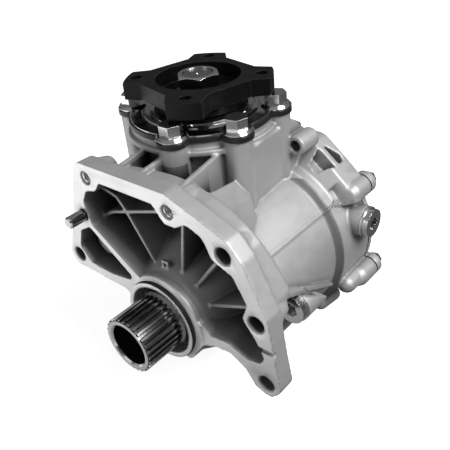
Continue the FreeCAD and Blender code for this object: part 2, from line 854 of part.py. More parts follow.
def plate_holes():
    """The holes that open in the mating face, the groove beside them and the corner boss's spot face."""
    holes = []
    for i, (x, z) in enumerate(THREADED_MOUNTS):
        holes.append(mount_hole("mount_thread_" + str(i), v.mount_thread_radius, v.mount_thread_depth, x, z))
    for i, (x, z) in enumerate(BLIND_MOUNTS):
        holes.append(mount_hole("mount_hole_" + str(i), v.mount_hole_radius, v.mount_hole_depth, x, z))
    holes.append(mount_hole("mount_hole_through", v.mount_hole_radius, v.plate_thickness + 1, *THROUGH_MOUNT))
    holes.append(mount_hole("mount_hole_corner", v.mount_hole_radius, v.corner_boss_end + 1, *CORNER_MOUNT))
    x, z = CORNER_MOUNT
    holes.append(cylinder("corner_spot_face", v.mount_boss_radius - 0.5, v.bell_depth,
                          (x, v.corner_boss_end, z), "+Y"))
    x, z = VENT_GROOVE_AT
    holes.append(box("vent_groove", v.vent_groove_length, v.vent_groove_depth + 1, v.vent_groove_width,
                     (x, -1, z)))
    x, z = DOWEL_AT
    holes.append(cylinder("dowel_hole", v.dowel_radius, v.dowel_length - v.dowel_stand, (x, 0, z), "+Y"))
    return holes


def threads():
    """The threaded holes of the retainer, the rear cover, the bracket and the two plugs."""
    holes = []
    for i, (x, y) in enumerate(retainer_places()):
        holes.append(cylinder("column_thread_" + str(i), v.bolt_shank, v.column_thread_depth + 4,
                              (x, y, v.tower_top - v.column_thread_depth)))
    for i, (x, z) in enumerate(cover_places()):
        holes.append(cylinder("cover_thread_" + str(i), v.cover_bolt_shank, v.cover_thread_depth + 1,
                              (x, v.joint_plane - v.cover_thread_depth, z), "+Y"))
    x, z = EAR_AT
    holes.append(cylinder("ear_thread", v.ear_thread_radius, v.ear_thread_depth + 1,
                          (x, v.ear_boss_start - 1, z), "+Y"))
    depth = 30
    holes.append(cylinder("filler_thread", v.plug_thread_radius, depth,
                          (filler_seat() - depth + 1, v.filler_distance, v.filler_height), "+X"))
    holes.append(cylinder("drain_thread", v.plug_thread_radius, v.drain_thread_depth + 1,
                          (v.drain_across, drain_seat() - 1, v.drain_height), "+Y"))
    return holes


def housing_inside():
    x0 = -v.output_offset
    y0 = v.output_distance
    depth = 16
    reach = 20
    return open_bell() + [
        chamber(),
        cylinder("cup_bore", v.cup_bore_radius, 60, (x0, y0, v.cup_floor)),
        cylinder("cup_floor_hole", v.cup_floor_bore, 50, (x0, y0, v.tower_foot + 2)),
        group("small_holes", plate_holes() + threads()),
        cylinder("drain_spot_face", v.plug_boss_radius + 0.4, depth,
                 (v.drain_across, drain_seat() - depth, v.drain_height), "+Y"),
        cylinder("drain_passage", v.drain_passage_radius, reach,
                 (v.drain_across - reach, drain_seat() + v.drain_thread_depth - 4, v.drain_height), "+X"),
        o_ring_groove(),
    ]


def o_ring_groove():
    start = -v.ring_groove_start
    end = start + v.ring_groove_width
    return revolve("o_ring_groove", [
        (v.nose_radius - 2 * v.ring_cord, start), (v.nose_radius + 3, start), (v.nose_radius + 3, end),
        (v.nose_radius - 2 * v.ring_cord, end),
    ])


def main_housing():
    return cut("main_housing", fuse("housing_outside", housing_outside()), housing_inside())


def ring_seal(name, inner, outer, start, end, lip, about="Y"):
    """A shaft seal: steel case with a rubber face that narrows to its lip."""
    middle = (start + end) / 2
    return revolve(name, [
        (inner + lip, start), (outer, start), (outer, end), (inner + lip, end),
        (inner + lip, middle + 1.5), (inner, middle + 0.6), (inner, middle - 0.6),
        (inner + lip, middle - 1.5),
    ], about)


def o_ring(name, radius, cord, at):
    """A rubber ring with a rounded outer face."""
    return revolve(name, [
        (radius - 2 * cord, at - cord), (radius - 0.4, at - cord), (radius + 0.2, at - 0.4 * cord),
        (radius + 0.2, at + 0.4 * cord), (radius - 0.4, at + cord), (radius - 2 * cord, at + cord),
    ])


def taper_bearing(name, inner, outer, start, width, about, small_first):
    """Taper roller bearing: inner race, outer race and a set of rollers, each a sub-part of its own."""
    wall = (outer - inner) * v.race_share
    rise = (outer - inner) * v.race_taper * (-1 if small_first else 1)
    inner_near, inner_far = inner + wall + rise, inner + wall - rise
    outer_near, outer_far = outer - wall + rise, outer - wall - rise
    end = start + width
    inset = v.race_inset
    cone_race = revolve(name + "_inner_race", [
        (inner, start), (inner_near, start), (inner_far, end), (inner, end),
    ], about)
    cup_race = revolve(name + "_outer_race", [
        (outer_near, start + inset), (outer, start + inset), (outer, end - inset), (outer_far, end - inset),
    ], about)
    near, far = (inner_near + outer_near) / 2, (inner_far + outer_far) / 2
    return [cone_race, cup_race, roller_set(name + "_rollers", near, far, outer_near - inner_near,
                                            start, width, about)]


def roller_set(name, near_radius, far_radius, gap, start, width, about):
    """Rollers that stand between the races, spread evenly round the axis."""
    inset = v.roller_inset
    rise = (far_radius - near_radius) * inset / width
    near = Vector(number(near_radius + rise), 0, 0)
    far = Vector(number(far_radius - rise), 0, number(width - 2 * inset))
    count = int(math.pi * number(near_radius + far_radius) / number(gap) / SIZES["roller_pitch"])
    solids = []
    for i in range(count):
        roller = doc.addObject("Part::Cylinder", name + "_roller_" + str(i))
        bind(roller, "Radius", gap / 2 - v.roller_clearance)
        roller.Height = (far - near).Length
        turn = Rotation(Vector(0, 0, 1), 360.0 * i / count)
        first = number(start + inset)
        if about == "Y":
            frame = Placement(Vector(0, first, 0), TURN["+Y"] * turn)
        else:
            frame = Placement(Vector(-SIZES["output_offset"], SIZES["output_distance"], first), turn)
        roller.Placement = frame.multiply(Placement(near, Rotation(Vector(0, 0, 1), far - near)))
        solids.append(roller)
    return group(name, solids)


def tooth_set(name, turns, root, tip, half_root, half_tip, axis, start, length):
    """Straight teeth that taper outwards, each on its own ray from the axis."""
    teeth = []
    push = Vector(0, 1, 0) if axis == "Y" else Vector(0, 0, 1)
    for turn in turns:
        if axis == "Y":
            out = Vector(math.cos(turn), 0, math.sin(turn))
            side = Vector(-math.sin(turn), 0, math.cos(turn))
        else:
            out = Vector(math.cos(turn), math.sin(turn), 0)
            side = Vector(-math.sin(turn), math.cos(turn), 0)
        inner = out * (root - SIZES["tooth_sink"])
        corners = [inner - side * half_root, out * tip - side * half_tip,
                   out * tip + side * half_tip, inner + side * half_root]
        teeth.append(prism([start + c for c in corners], push * length))
    return feature(name, Part.Compound(teeth))


def input_spline(start):
    """The straight spline outside the front end of the input shaft."""
    count = int(SIZES["spline_count"])
    root = SIZES["spline_root"]
    tip = SIZES["spline_radius"]
    half_root = math.pi * root / count * SIZES["spline_root_share"]
    half_tip = math.pi * tip / count * SIZES["spline_tip_share"]
    turns = [2 * math.pi * i / count for i in range(count)]
    return tooth_set("input_spline", turns, root, tip, half_root, half_tip, "Y",
                     Vector(0, number(start), 0), SIZES["spline_length"])


def input_shaft():
    """The hollow shaft, with its spline, its journals and the carrier of the ring gear."""
    tip = -v.spline_reach
    spline_end = tip + v.spline_length
    front_start = v.front_bearing_start - 1
    front_end = v.front_bearing_start + v.bearing_width
    carrier = v.ring_face + v.ring_thickness
    carrier_end = carrier + v.carrier_thickness
    pilot = v.ring_inner - v.run_clearance
    rear_start = v.rear_bearing_start
    rear_end = rear_start + v.bearing_width + 1
    mouth = v.bore_radius + 1.2
    shaft = revolve("input_shaft_turned", [
        (mouth, tip), (v.spline_root, tip), (v.spline_root, spline_end), (v.seal_journal, spline_end + 3),
        (v.seal_journal, front_start), (v.shaft_journal, front_start), (v.shaft_journal, front_end),
        (v.shaft_journal + 3, front_end), (v.shaft_journal + 3, front_end + 4), (v.shaft_body, front_end + 8),
        (v.shaft_body, 94), (pilot, v.ring_face - 2), (pilot, carrier), (v.carrier_radius, carrier),
        (v.carrier_radius, carrier_end), (v.ring_inner - 1, carrier_end),
        (v.shaft_journal + 6, carrier_end + 4), (v.shaft_journal + 3, rear_start),
        (v.shaft_journal, rear_start), (v.shaft_journal, rear_end),
        (v.seal_journal, rear_end + 2), (v.seal_journal, v.shaft_end), (mouth, v.shaft_end),
        (v.bore_radius, v.shaft_end - 1.2), (v.bore_radius, tip + 1.2),
    ])
    holes = []
    for i, (x, z) in enumerate(ring_places()):
        holes.append(cylinder("carrier_hole_" + str(i), v.ring_bolt_radius, v.carrier_thickness + 2,
                              (x, carrier - 1, z), "+Y"))
    splined = fuse("input_shaft_splined", [shaft, input_spline(tip + 0.6)])
    return cut("input_shaft", splined, [group("carrier_holes", holes)])


def pinion_pitch_radius():
    return SIZES["mesh_height"] * SIZES["pinion_teeth"] / SIZES["ring_teeth"]


def tooth_halves():
    """Half widths of a gear tooth at its root and at its tip, the same for ring and pinion."""
    pitch = 2 * math.pi * SIZES["mesh_height"] / SIZES["ring_teeth"]
    half_root = pitch * SIZES["tooth_share"] / 2 + SIZES["tooth_root_spread"]
    return half_root, half_root * SIZES["tooth_tip_share"]


def ring_gear():
    """Face gear: its straight teeth run along lines offset from the axis by the offset of the output axis."""
    back = v.ring_face + v.ring_thickness
    body = tube("ring_gear_blank", v.ring_inner, v.ring_outer, v.ring_face, back)
    root = SIZES["ring_face"] + 0.3
    tip = SIZES["output_distance"] + pinion_pitch_radius() - SIZES["tooth_addendum"]
    half_root, half_tip = tooth_halves()
    offset = SIZES["output_offset"]
    low = math.sqrt(SIZES["tooth_inner"] ** 2 - offset ** 2)
    high = math.sqrt(SIZES["tooth_outer"] ** 2 - offset ** 2)
    corners = [(-half_root, root), (-half_tip, tip), (half_tip, tip), (half_root, root)]
    teeth = []
    count = int(SIZES["ring_teeth"])
    for i in range(count):
        tooth = prism([Vector(x - offset, y, low) for x, y in corners], Vector(0, 0, high - low))
        tooth.rotate(Vector(0, 0, 0), Vector(0, 1, 0), 360.0 * (i + 0.5) / count)
        teeth.append(tooth)
    crown = feature("ring_gear_teeth", Part.Compound(teeth))
    holes = []
    for i, (x, z) in enumerate(ring_places()):
        holes.append(cylinder("ring_thread_" + str(i), v.ring_bolt_radius, v.ring_thread_depth + 1,
                              (x, back - v.ring_thread_depth, z), "+Y"))
    return cut("ring_gear", fuse("ring_gear_toothed", [body, crown]), [group("ring_threads", holes)])


def ring_gear_bolts():
    bolts = []
    seat = v.ring_face + v.ring_thickness + v.carrier_thickness
    length = v.carrier_thickness + v.ring_thread_depth
    for i, (x, z) in enumerate(ring_places()):
        shank = cylinder("ring_bolt_shank_" + str(i), v.ring_bolt_radius - v.run_clearance, length,
                         (x, seat - length, z), "+Y")
        head = hexagon("ring_bolt_head_" + str(i), 2 * v.ring_bolt_head, v.ring_bolt_head_height,
                       (x, seat, z), "+Y")
        bolts.append(fuse("ring_bolt_" + str(i), [shank, head]))
    return group("ring_gear_bolts", bolts)


def tail_start():
    """Height of the inner end of the tail bearing."""
    return v.cup_floor + v.head_bearing_height + v.sleeve_gap


def tail_end():
    """Height of the outer end of the tail bearing, where the hub of the flange sits."""
    return tail_start() + v.tail_bearing_height


def pinion_shaft():
    """The output shaft: pinion, neck, journals of the two bearings, spline seat and stud."""
    half = v.pinion_tooth_length / 2
    low = v.mesh_height - half
    high = v.mesh_height + half
    root = pinion_pitch_radius() - SIZES["tooth_dedendum"]
    shoulder = v.journal_radius + 3.5
    nut_seat = v.flange_top - v.nut_seat_depth
    stud_end = v.flange_top + v.stud_stand
    shaft = revolve("pinion_turned", [
        (0, low - 1.5), (root - 1.0, low - 1.5), (root, low), (root, high), (v.neck_radius, high + 1),
        (v.neck_radius, v.cup_floor - 8), (shoulder, v.cup_floor - 2), (shoulder, v.cup_floor),
        (v.journal_radius, v.cup_floor), (v.journal_radius, tail_end()), (v.pinion_spline_radius, tail_end()),
        (v.pinion_spline_radius, nut_seat - 2), (v.stud_radius, nut_seat - 1),
        (v.stud_radius, stud_end - 0.8), (v.stud_radius - 0.8, stud_end), (1.6, stud_end),
        (0, stud_end - 2.2),
    ], "Z")
    half_root, half_tip = tooth_halves()
    tip = pinion_pitch_radius() + SIZES["tooth_addendum"]
    count = int(SIZES["pinion_teeth"])
    turns = [2 * math.pi * i / count + math.pi / 2 for i in range(count)]
    base = Vector(-SIZES["output_offset"], SIZES["output_distance"], number(low))
    crown = tooth_set("pinion_teeth_set", turns, root, tip, half_root, half_tip, "Z",
                      base, SIZES["pinion_tooth_length"])
    return fuse("pinion_shaft", [shaft, crown])


def flange_scallop(i):
    """A wedge that takes the rim away between two lugs of the flange."""
    waist = SIZES["flange_waist"]
    under = SIZES["flange_top"] - SIZES["flange_thickness"] - 1
    turn = math.radians(SIZES["flange_turn"] + 45 + 90 * i)
    out = Vector(math.sin(turn), -math.cos(turn), 0)
    side = Vector(math.cos(turn), math.sin(turn), 0)
    far = 80.0
    edge = waist * math.tan(math.radians(SIZES["flange_waist_angle"]))
    spread = edge + (far - waist) / math.tan(math.radians(SIZES["flange_lug_angle"]))
    corners = [out * waist - side * edge, out * waist + side * edge,
               out * far + side * spread, out * far - side * spread]
    centre = Vector(-SIZES["output_offset"], SIZES["output_distance"], under)
    wedge = prism([c + centre for c in corners], Vector(0, 0, SIZES["flange_thickness"] + 2))
    return feature("flange_scallop_" + str(i), wedge)


def output_flange():
    """Four-lug flange with its hub, dish and the sleeve that the seal runs on."""
    top = v.flange_top
    under = top - v.flange_thickness
    bore = v.pinion_spline_radius + v.run_clearance
    base = tail_end()
    hub = revolve("flange_turned", [
        (bore, base), (v.sleeve_radius - 4, base), (v.sleeve_radius, base + 4),
        (v.sleeve_radius, v.flange_hub_end), (v.flange_hub_radius, v.flange_hub_end),
        (v.flange_hub_radius, under), (v.flange_radius, under), (v.flange_radius, top - 0.8),
        (v.flange_radius - 0.8, top), (v.dish_radius, top), (v.dish_radius, top - v.dish_depth),
        (v.nut_seat_radius, top - v.nut_seat_depth), (bore, top - v.nut_seat_depth),
    ], "Z")
    tools = []
    for i in range(4):
        x, y = about_output(v.flange_bolt_circle, SIZES["flange_turn"] + 90 * i)
        tools.append(flange_scallop(i))
        tools.append(cylinder("flange_hole_" + str(i), v.flange_hole_radius, v.flange_thickness + 2,
                              (x, y, under - 1)))
    return cut("output_flange", hub, [group("flange_tools", tools)])


def flange_nut():
    seat = v.flange_top - v.nut_seat_depth + v.washer_thickness
    top = seat + v.nut_height
    bore = v.stud_radius + v.run_clearance
    half = v.nut_flats / 2
    hex_prism = hexagon("nut_prism", v.nut_flats, v.nut_height, (-v.output_offset, v.output_distance, seat),
                        "+Z", 18.0)
    crown = revolve("nut_crown", [
        (bore, seat), (half + 0.6, seat), (half + 2.6, seat + 1.2), (half + 2.6, top - 1.6),
        (half - 0.4, top), (bore, top),
    ], "Z")
    return common("flange_nut", hex_prism, crown)


def flange_washer():
    seat = v.flange_top - v.nut_seat_depth
    return tube("flange_washer", v.stud_radius + v.bolt_clearance, v.washer_radius, seat,
                seat + v.washer_thickness, "Z")


def retainer_lobes(name, radius, thickness, base):
    """Round ears about the bolts of the retainer, and the bolt holes through them."""
    ears = []
    holes = []
    for i, (x, y) in enumerate(retainer_places()):
        ears.append(cylinder(name + "_ear_" + str(i), radius, thickness, (x, y, base)))
        holes.append(cylinder(name + "_hole_" + str(i), v.bolt_shank + v.bolt_clearance, thickness + 2,
                              (x, y, base - 1)))
    return group(name + "_ears", ears), group(name + "_holes", holes)


def pinion_retainer():
    """Pressed cap with rolled rings; its spigot fills the cup bore and holds the outer bearing race."""
    base = v.tower_top + v.gasket_thickness
    seat = base + v.retainer_thickness
    ring = seat + v.retainer_ring_height
    top = seat + v.retainer_hub_height
    bore = v.cup_bore_radius - v.retainer_wall
    foot = tail_end() - v.race_inset
    rim = v.retainer_ring_radius
    plate = revolve("retainer_turned", [
        (bore, foot), (v.cup_bore_radius, foot), (v.cup_bore_radius, base), (v.retainer_edge_radius, base),
        (v.retainer_edge_radius, seat), (rim + 1.2, seat), (rim, ring), (rim - 2, ring),
        (rim - 2.4, seat + 0.2), (v.retainer_hub_radius + 0.4, seat + 0.2), (v.retainer_hub_radius, top),
        (bore, top),
    ], "Z")
    ears, holes = retainer_lobes("retainer", v.retainer_ear_radius, v.retainer_thickness, base)
    return cut("pinion_retainer", fuse("retainer_eared", [plate, ears]), [holes])


def retainer_gasket():
    base = v.tower_top
    ring = tube("gasket_ring", v.cup_bore_radius + 0.5, v.retainer_edge_radius + v.gasket_overhang, base,
                base + v.gasket_thickness, "Z")
    radius = v.retainer_ear_radius + v.gasket_overhang
    ears, holes = retainer_lobes("gasket", radius, v.gasket_thickness, base)
    return cut("retainer_gasket", fuse("gasket_eared", [ring, ears]), [holes])


def retainer_bolts():
    """Hexagon bolts with a flange, each turned a little further than the one before."""
    bolts = []
    seat = v.tower_top + v.gasket_thickness + v.retainer_thickness
    hex_height = v.bolt_hex_height + v.bolt_flange_height - 1
    for i, (x, y) in enumerate(retainer_places()):
        shank = cylinder("retainer_shank_" + str(i), v.bolt_shank - v.run_clearance, v.bolt_grip,
                         (x, y, seat - v.bolt_grip))
        skirt = cone("retainer_skirt_" + str(i), v.bolt_flange_radius, v.bolt_flange_radius - 1.6,
                     v.bolt_flange_height, (x, y, seat))
        head = hexagon("retainer_hex_" + str(i), v.bolt_hex_flats, hex_height,
                       (x, y, seat + 1), "+Z", 12.0 * i)
        bolts.append(fuse("retainer_bolt_" + str(i), [shank, skirt, head]))
    return group("retainer_bolts", bolts)


def cover_lobes(name, thickness, start):
    """Round ears about the bolts of the rear cover, and the bolt holes through them."""
    ears = []
    holes = []
    for i, (x, z) in enumerate(cover_places()):
        ears.append(cylinder(name + "_ear_" + str(i), v.cover_boss_radius, thickness, (x, start, z), "+Y"))
        holes.append(cylinder(name + "_hole_" + str(i), v.cover_bolt_shank + v.bolt_clearance, thickness + 2,
                              (x, start - 1, z), "+Y"))
    return group(name + "_ears", ears), group(name + "_holes", holes)


def rear_cover():
    """Turned cover with the seat of the rear bearing inside and the seal of the shaft in its nose."""
    joint = v.joint_plane + v.cover_gasket_thickness
    back = joint + v.cover_thickness
    hub_start = v.joint_plane - v.cover_hub_reach
    cup_end = v.rear_bearing_start + v.bearing_width + 1
    floor = v.joint_plane - 4
    spigot = v.chamber_rear_radius - v.run_clearance
    lip = v.seal_journal + 3
    seal_start = v.cover_nose_end - v.seal_width - 1
    turned = revolve("cover_turned", [
        (lip, cup_end), (v.bearing_radius, cup_end), (v.bearing_radius, hub_start),
        (v.cover_hub_radius, hub_start), (v.cover_hub_radius + 3, floor), (v.chamber_rear_radius - 4, floor),
        (spigot, floor + 1), (spigot, joint), (v.rear_radius, joint), (v.rear_radius, back - 2),
        (v.rear_radius - 2, back), (v.cover_nose_radius + 4, back), (v.cover_nose_radius, back + 4),
        (v.cover_nose_radius, v.cover_nose_end), (v.rear_seal_radius, v.cover_nose_end),
        (v.rear_seal_radius, seal_start), (lip, seal_start),
    ])
    ears, holes = cover_lobes("cover", v.cover_thickness, joint)
    return cut("rear_cover", fuse("cover_eared", [turned, ears]), [holes])


def cover_gasket():
    start = v.joint_plane
    thickness = v.cover_gasket_thickness
    ring = tube("cover_gasket_ring", v.chamber_rear_radius + 0.3, v.rear_radius, start, start + thickness)
    ears, holes = cover_lobes("cover_gasket", thickness, start)
    return cut("cover_gasket", fuse("cover_gasket_eared", [ring, ears]), [holes])


def cover_bolts():
    """Hexagon bolts with a flange that hold the rear cover."""
    bolts = []
    seat = v.joint_plane + v.cover_gasket_thickness + v.cover_thickness
    length = v.cover_bolt_length
    for i, (x, z) in enumerate(cover_places()):
        shank = cylinder("cover_shank_" + str(i), v.cover_bolt_shank - v.run_clearance, length,
                         (x, seat - length, z), "+Y")
        skirt = cone("cover_skirt_" + str(i), v.cover_skirt_radius, v.cover_skirt_radius - 1.2,
                     v.cover_skirt_height, (x, seat, z), "+Y")
        head = hexagon("cover_hex_" + str(i), v.cover_hex_flats, v.cover_hex_height,
                       (x, seat + v.cover_skirt_height / 2, z), "+Y", 10.0 * i)
        bolts.append(fuse("cover_bolt_" + str(i), [shank, skirt, head]))
    return group("cover_bolts", bolts)


def plug(name, washer_name, face, axis):
    """A plug with a hexagon socket and its sealing washer; face is the middle of its outer face."""

    def at(distance):
        """A place at a distance behind the outer face of the plug, to lay a length towards the axis."""
        x, y, z = face
        return (x - distance, y, z) if axis == "X" else (x, y + distance, z)

    def rod(part, radius, near, length):
        """A round length that begins at a distance behind the outer face."""
        base = at(near + length) if axis == "X" else at(near)
        return cylinder(name + part, radius, length, base, "+" + axis)

    seat = v.plug_head
    washer = v.plug_washer_thickness
    disc = rod("_disc", v.plug_radius, 0, seat)
    stem_length = v.plug_thread_length + washer + 0.5
    stem = rod("_stem", v.plug_thread_radius - v.run_clearance, seat - 0.5, stem_length)
    depth = v.plug_socket_depth
    socket_base = at(depth) if axis == "X" else at(-1)
    socket = hexagon(name + "_socket", v.plug_socket_flats, depth + 1, socket_base, "+" + axis, 15.0)
    ring = rod("_washer_disc", v.plug_radius + 1.0, seat, washer)
    hole = rod("_washer_hole", v.plug_thread_radius, seat - 1, washer + 2)
    return [cut(name, fuse(name + "_whole", [disc, stem]), [socket]), cut(washer_name, ring, [hole])]


def dowel_pin():
    """Dowel pressed into the plate, with a shallow neck in front of the mating face."""
    x, z = DOWEL_AT
    start = -v.dowel_stand
    end = v.dowel_length - v.dowel_stand
    stand = v.dowel_radius - v.dowel_step
    neck = v.dowel_radius - v.dowel_neck
    thing = revolve("dowel_pin", [
        (0, start), (stand - 1.0, start), (stand, start + 1.0), (stand, -v.dowel_neck_width),
        (neck, -v.dowel_neck_width), (neck, 0), (v.dowel_radius, 0), (v.dowel_radius, end), (0, end),
    ])
    return place(thing, (x, 0, z))


def seals():
    """The three shaft seals and the ring round the nose."""
    journal = v.seal_journal + v.run_clearance
    sleeve = v.sleeve_radius + v.run_clearance
    front = v.input_seal_start
    rear = v.cover_nose_end - v.seal_width - 1
    top = v.tower_top + v.gasket_thickness + v.retainer_thickness + v.retainer_hub_height - 1
    middle = v.ring_groove_width / 2 - v.ring_groove_start
    bore = v.cup_bore_radius - v.retainer_wall
    return [
        ring_seal("input_oil_seal", journal, v.nose_bore, front, front + v.seal_width, v.seal_lip),
        ring_seal("rear_oil_seal", journal, v.rear_seal_radius, rear, rear + v.seal_width, v.seal_lip),
        ring_seal("output_oil_seal", sleeve, bore, top - v.output_seal_width, top, v.output_seal_lip, "Z"),
        o_ring("nose_o_ring", v.nose_radius, v.ring_cord, middle),
    ]


def bearings():
    """Four taper roller bearings, two on each axis, and the collapsible sleeve between the upper two."""
    shaft = (v.shaft_journal, v.bearing_radius)
    pinion = (v.journal_radius, v.cup_bore_radius)
    head = v.cup_floor
    sleeve = head + v.head_bearing_height
    made = taper_bearing("front_bearing", *shaft, v.front_bearing_start, v.bearing_width, "Y", False)
    made += taper_bearing("rear_bearing", *shaft, v.rear_bearing_start, v.bearing_width, "Y", True)
    made += taper_bearing("head_bearing", *pinion, head, v.head_bearing_height, "Z", True)
    made += taper_bearing("tail_bearing", *pinion, tail_start(), v.tail_bearing_height, "Z", False)
    made.append(tube("crush_sleeve", v.journal_radius, v.journal_radius + 2.2, sleeve, tail_start(), "Z"))
    return made


def build_all():
    filler = (v.filler_face, v.filler_distance, v.filler_height)
    drain = (v.drain_across, v.drain_face, v.drain_height)
    pieces = [main_housing(), rear_cover(), cover_gasket(), cover_bolts(), dowel_pin()]
    pieces += [input_shaft(), ring_gear(), ring_gear_bolts()]
    pieces += [pinion_shaft(), output_flange(), flange_nut(), flange_washer()]
    pieces += [pinion_retainer(), retainer_gasket(), retainer_bolts()]
    pieces += plug("filler_plug", "filler_washer", filler, "X")
    pieces += plug("drain_plug", "drain_washer", drain, "Y")
    return pieces + seals() + bearings()


PIECES = build_all()
doc.recompute()

for thing in doc.Objects:
    if "Invalid" in thing.State or "Error" in thing.State:
        raise SystemExit("failed: " + thing.Name)
for piece in PIECES:
    piece.Label = piece.Name
    if piece.Shape.isNull() or not piece.Shape.isValid():
        raise SystemExit("bad shape: " + piece.Label)
os.makedirs("parts", exist_ok=True)
for piece in PIECES:
    piece.Shape.exportStep("parts/" + piece.Label + ".step")
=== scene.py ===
import json
import math

import bmesh
import bpy
import numpy
from mathutils import Matrix, Vector

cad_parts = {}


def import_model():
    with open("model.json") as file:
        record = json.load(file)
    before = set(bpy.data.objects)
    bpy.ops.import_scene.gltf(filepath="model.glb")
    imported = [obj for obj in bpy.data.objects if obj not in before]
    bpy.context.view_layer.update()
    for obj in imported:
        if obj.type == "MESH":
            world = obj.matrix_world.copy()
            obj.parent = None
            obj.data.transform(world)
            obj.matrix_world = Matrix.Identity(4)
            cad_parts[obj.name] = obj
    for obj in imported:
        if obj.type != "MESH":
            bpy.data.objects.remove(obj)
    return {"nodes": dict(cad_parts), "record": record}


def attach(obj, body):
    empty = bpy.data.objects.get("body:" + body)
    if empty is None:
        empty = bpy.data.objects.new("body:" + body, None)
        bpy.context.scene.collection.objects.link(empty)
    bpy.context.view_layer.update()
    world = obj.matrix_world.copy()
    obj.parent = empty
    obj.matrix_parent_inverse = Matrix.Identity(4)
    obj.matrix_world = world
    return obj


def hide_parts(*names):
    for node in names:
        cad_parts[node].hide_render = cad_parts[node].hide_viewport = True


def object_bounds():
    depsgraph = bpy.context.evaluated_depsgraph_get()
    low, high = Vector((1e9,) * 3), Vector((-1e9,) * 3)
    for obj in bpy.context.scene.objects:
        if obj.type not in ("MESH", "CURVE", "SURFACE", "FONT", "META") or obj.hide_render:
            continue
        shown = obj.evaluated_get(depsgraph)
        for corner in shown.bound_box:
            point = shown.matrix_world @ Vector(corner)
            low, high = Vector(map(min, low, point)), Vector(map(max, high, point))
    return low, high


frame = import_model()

CAD_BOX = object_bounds()
MM = 0.001

# Axes and faces of the object, in millimetres in the row frame
OUTPUT_X = -33.1
OUTPUT_Y = 91.9
TOWER_TOP = 110.6
JOINT_PLANE = 162.0
NOSE_RADIUS = 34.5
NOSE_SHOULDER = 34.6
NOSE_LENGTH = 4.0
CUP_RADIUS = 36.6
RIB_CREST = 12.0
BELL_DEPTH = 43.5
BELL_TOP = 98.5
BELL_FLOOR = 34.0

# The casting's material: how its places are told apart, its tones and gloss, and its grains, each by its
# scale, detail, roughness and share
FACING_FORWARD = -0.97
FACE_MARGIN = 0.4
CREST_MARGIN = 0.4
HOLLOW_REACH = 30.0
CORNER_REACH = 6.0
CAST_EASING = 1.0
CAST_TONE = 0.50
MILLED_TONE = 0.80
# Tone that the painted shade of hollows, corners, the bell and the rear step goes towards
PAINTED_SHADE_TONE = 0.035
NOSE_MILLED = 0.8
CAST_ROUGHNESS = (0.50, 0.60)
MILLED_GLOSS = 0.14
CAST_METALLIC = (0.60, 0.80)
CAST_GRAINS = ((1500.0, 3.0, 0.7, 0.6), (500.0, 2.0, 0.6, 0.4))

# The casting's hollows and corners, for painted shade: how open a place is where the shade is darkest and
# where it keeps its tone
HOLLOW_OPEN = (0.25, 0.80)
CORNER_OPEN = (0.45, 0.95)

# How far the painted shade goes towards its darkest tone: hollows outside and inside the bell, the bell
# from the crests of its ribs to its floor, corners, the rear step, and the share of it off and on the nose
HOLLOW_DARK = (0.42, 0.82)
BELL_DARK = (0.35, 1.0)
CORNER_DARK = 0.65
STEP_DARK = 0.62
NOSE_SHARE = (1.0, 0.25)

# Steel and noise: size of the grain, tone of the painted shade in grooves, and the range of values that
# noise has
STEEL_GRAIN = 900.0
GROOVE_SHADE_TONE = 0.01
NOISE_RANGE = (0.3, 0.7)

# Holes of the mating face: X, Z, radius and depth
PLATE_HOLES = [
    (-59, 92, 4.25, 18), (18, 90, 4.25, 18), (60, 74, 5.5, 20), (81, 33, 5.5, 20),
    (86, -13, 5.5, 13), (-90, 18, 5.5, 26), (-72, 59, 4.5, 12),
]
THREADED = PLATE_HOLES[:2]
THREAD_PITCH = 1.5
THREAD_DEPTH = 0.8
THREAD_STEPS = 28
THREAD_START = 1.2
THREAD_RUNOUT = 3.0
THREAD_PROFILE = ((0.0, -0.5), (THREAD_DEPTH, -0.12), (THREAD_DEPTH, 0.12), (0.0, 0.5))

# The easing of the castings: grid of the skin, passes and strength of smoothing, share of faces kept
SKIN_GRID = 0.8
SKIN_PASSES = 6
SKIN_EASING = 0.5
SKIN_KEEP = 0.3
SEAT_MARGIN = 0.8
SHARP_ANGLE = 38

# Machined places beside the holes of the mating face: the seats of the plugs and the hole of the ear
DRAIN_SEAT = {"x": 68.2, "other": 1.8, "radius": 12.8, "low": 40, "high": 60}
FILLER_FACE_X = 71
FILLER_Y = 149
FILLER_RADIUS = 14
EAR_HOLE = {"x": 27, "other": 86, "radius": 5.2, "low": 120, "high": 140}

# Cast forms beside those of the CAD: ledges by their corners, lobes by two ends and a radius
LEDGES = [
    [(28, 22, 94), (19, 62, 84), (43, 20, 86), (28, 68, 70), (24, 20, 60), (52, 20, 55), (14, 62, 50),
     (34, 68, 45)],
]
LOBES = [
    ((42, 132, -59), (43, 150, -61), 6.5),
]
BALL_POINTS = 60
GOLDEN_ANGLE = 137.5

# The barrel of the housing, and the rear step in which it widens, which gets painted shade below its top
BARREL_RADIUS = 63.5
SHOULDER = (118.9, 124.4)
SHOULDER_TOP = 60.0

# Rounded ends of the cover bosses: their angles, radius of their axes, and places and radii of the ends
COVER_BOSS_ANGLES = (97, 157, 217, 277, 337)
COVER_BOSS_RADIUS = 72.0
COVER_BOSS_ENDS = ((132, 8.0), (152, 8.5))

# The boss beside the parting line: its angle, half its width, its reach along Y and its dome
SHORT_BOSS_ANGLE = 37
SHORT_BOSS_HALF = 9
SHORT_BOSS_REACH = (124, 150)
SHORT_BOSS_END = 138.0
DOME_LENGTH = 6.0
DOME_HEIGHT = 15.0

# The gusset over the drain boss: a plate that slopes back, with its outline in X and Y
LEAF_HEIGHT = 47.3
LEAF_FALL = 0.55
LEAF_THICKNESS = 3.0
LEAF_EASING = 0.7
LEAF_OUTLINE = [
    (76.2, 24), (74.7, 38.6), (71.2, 66.5), (66.6, 111), (60.5, 111), (61, 85), (60.5, 66.5), (58, 50),
    (54, 38), (52, 24),
]

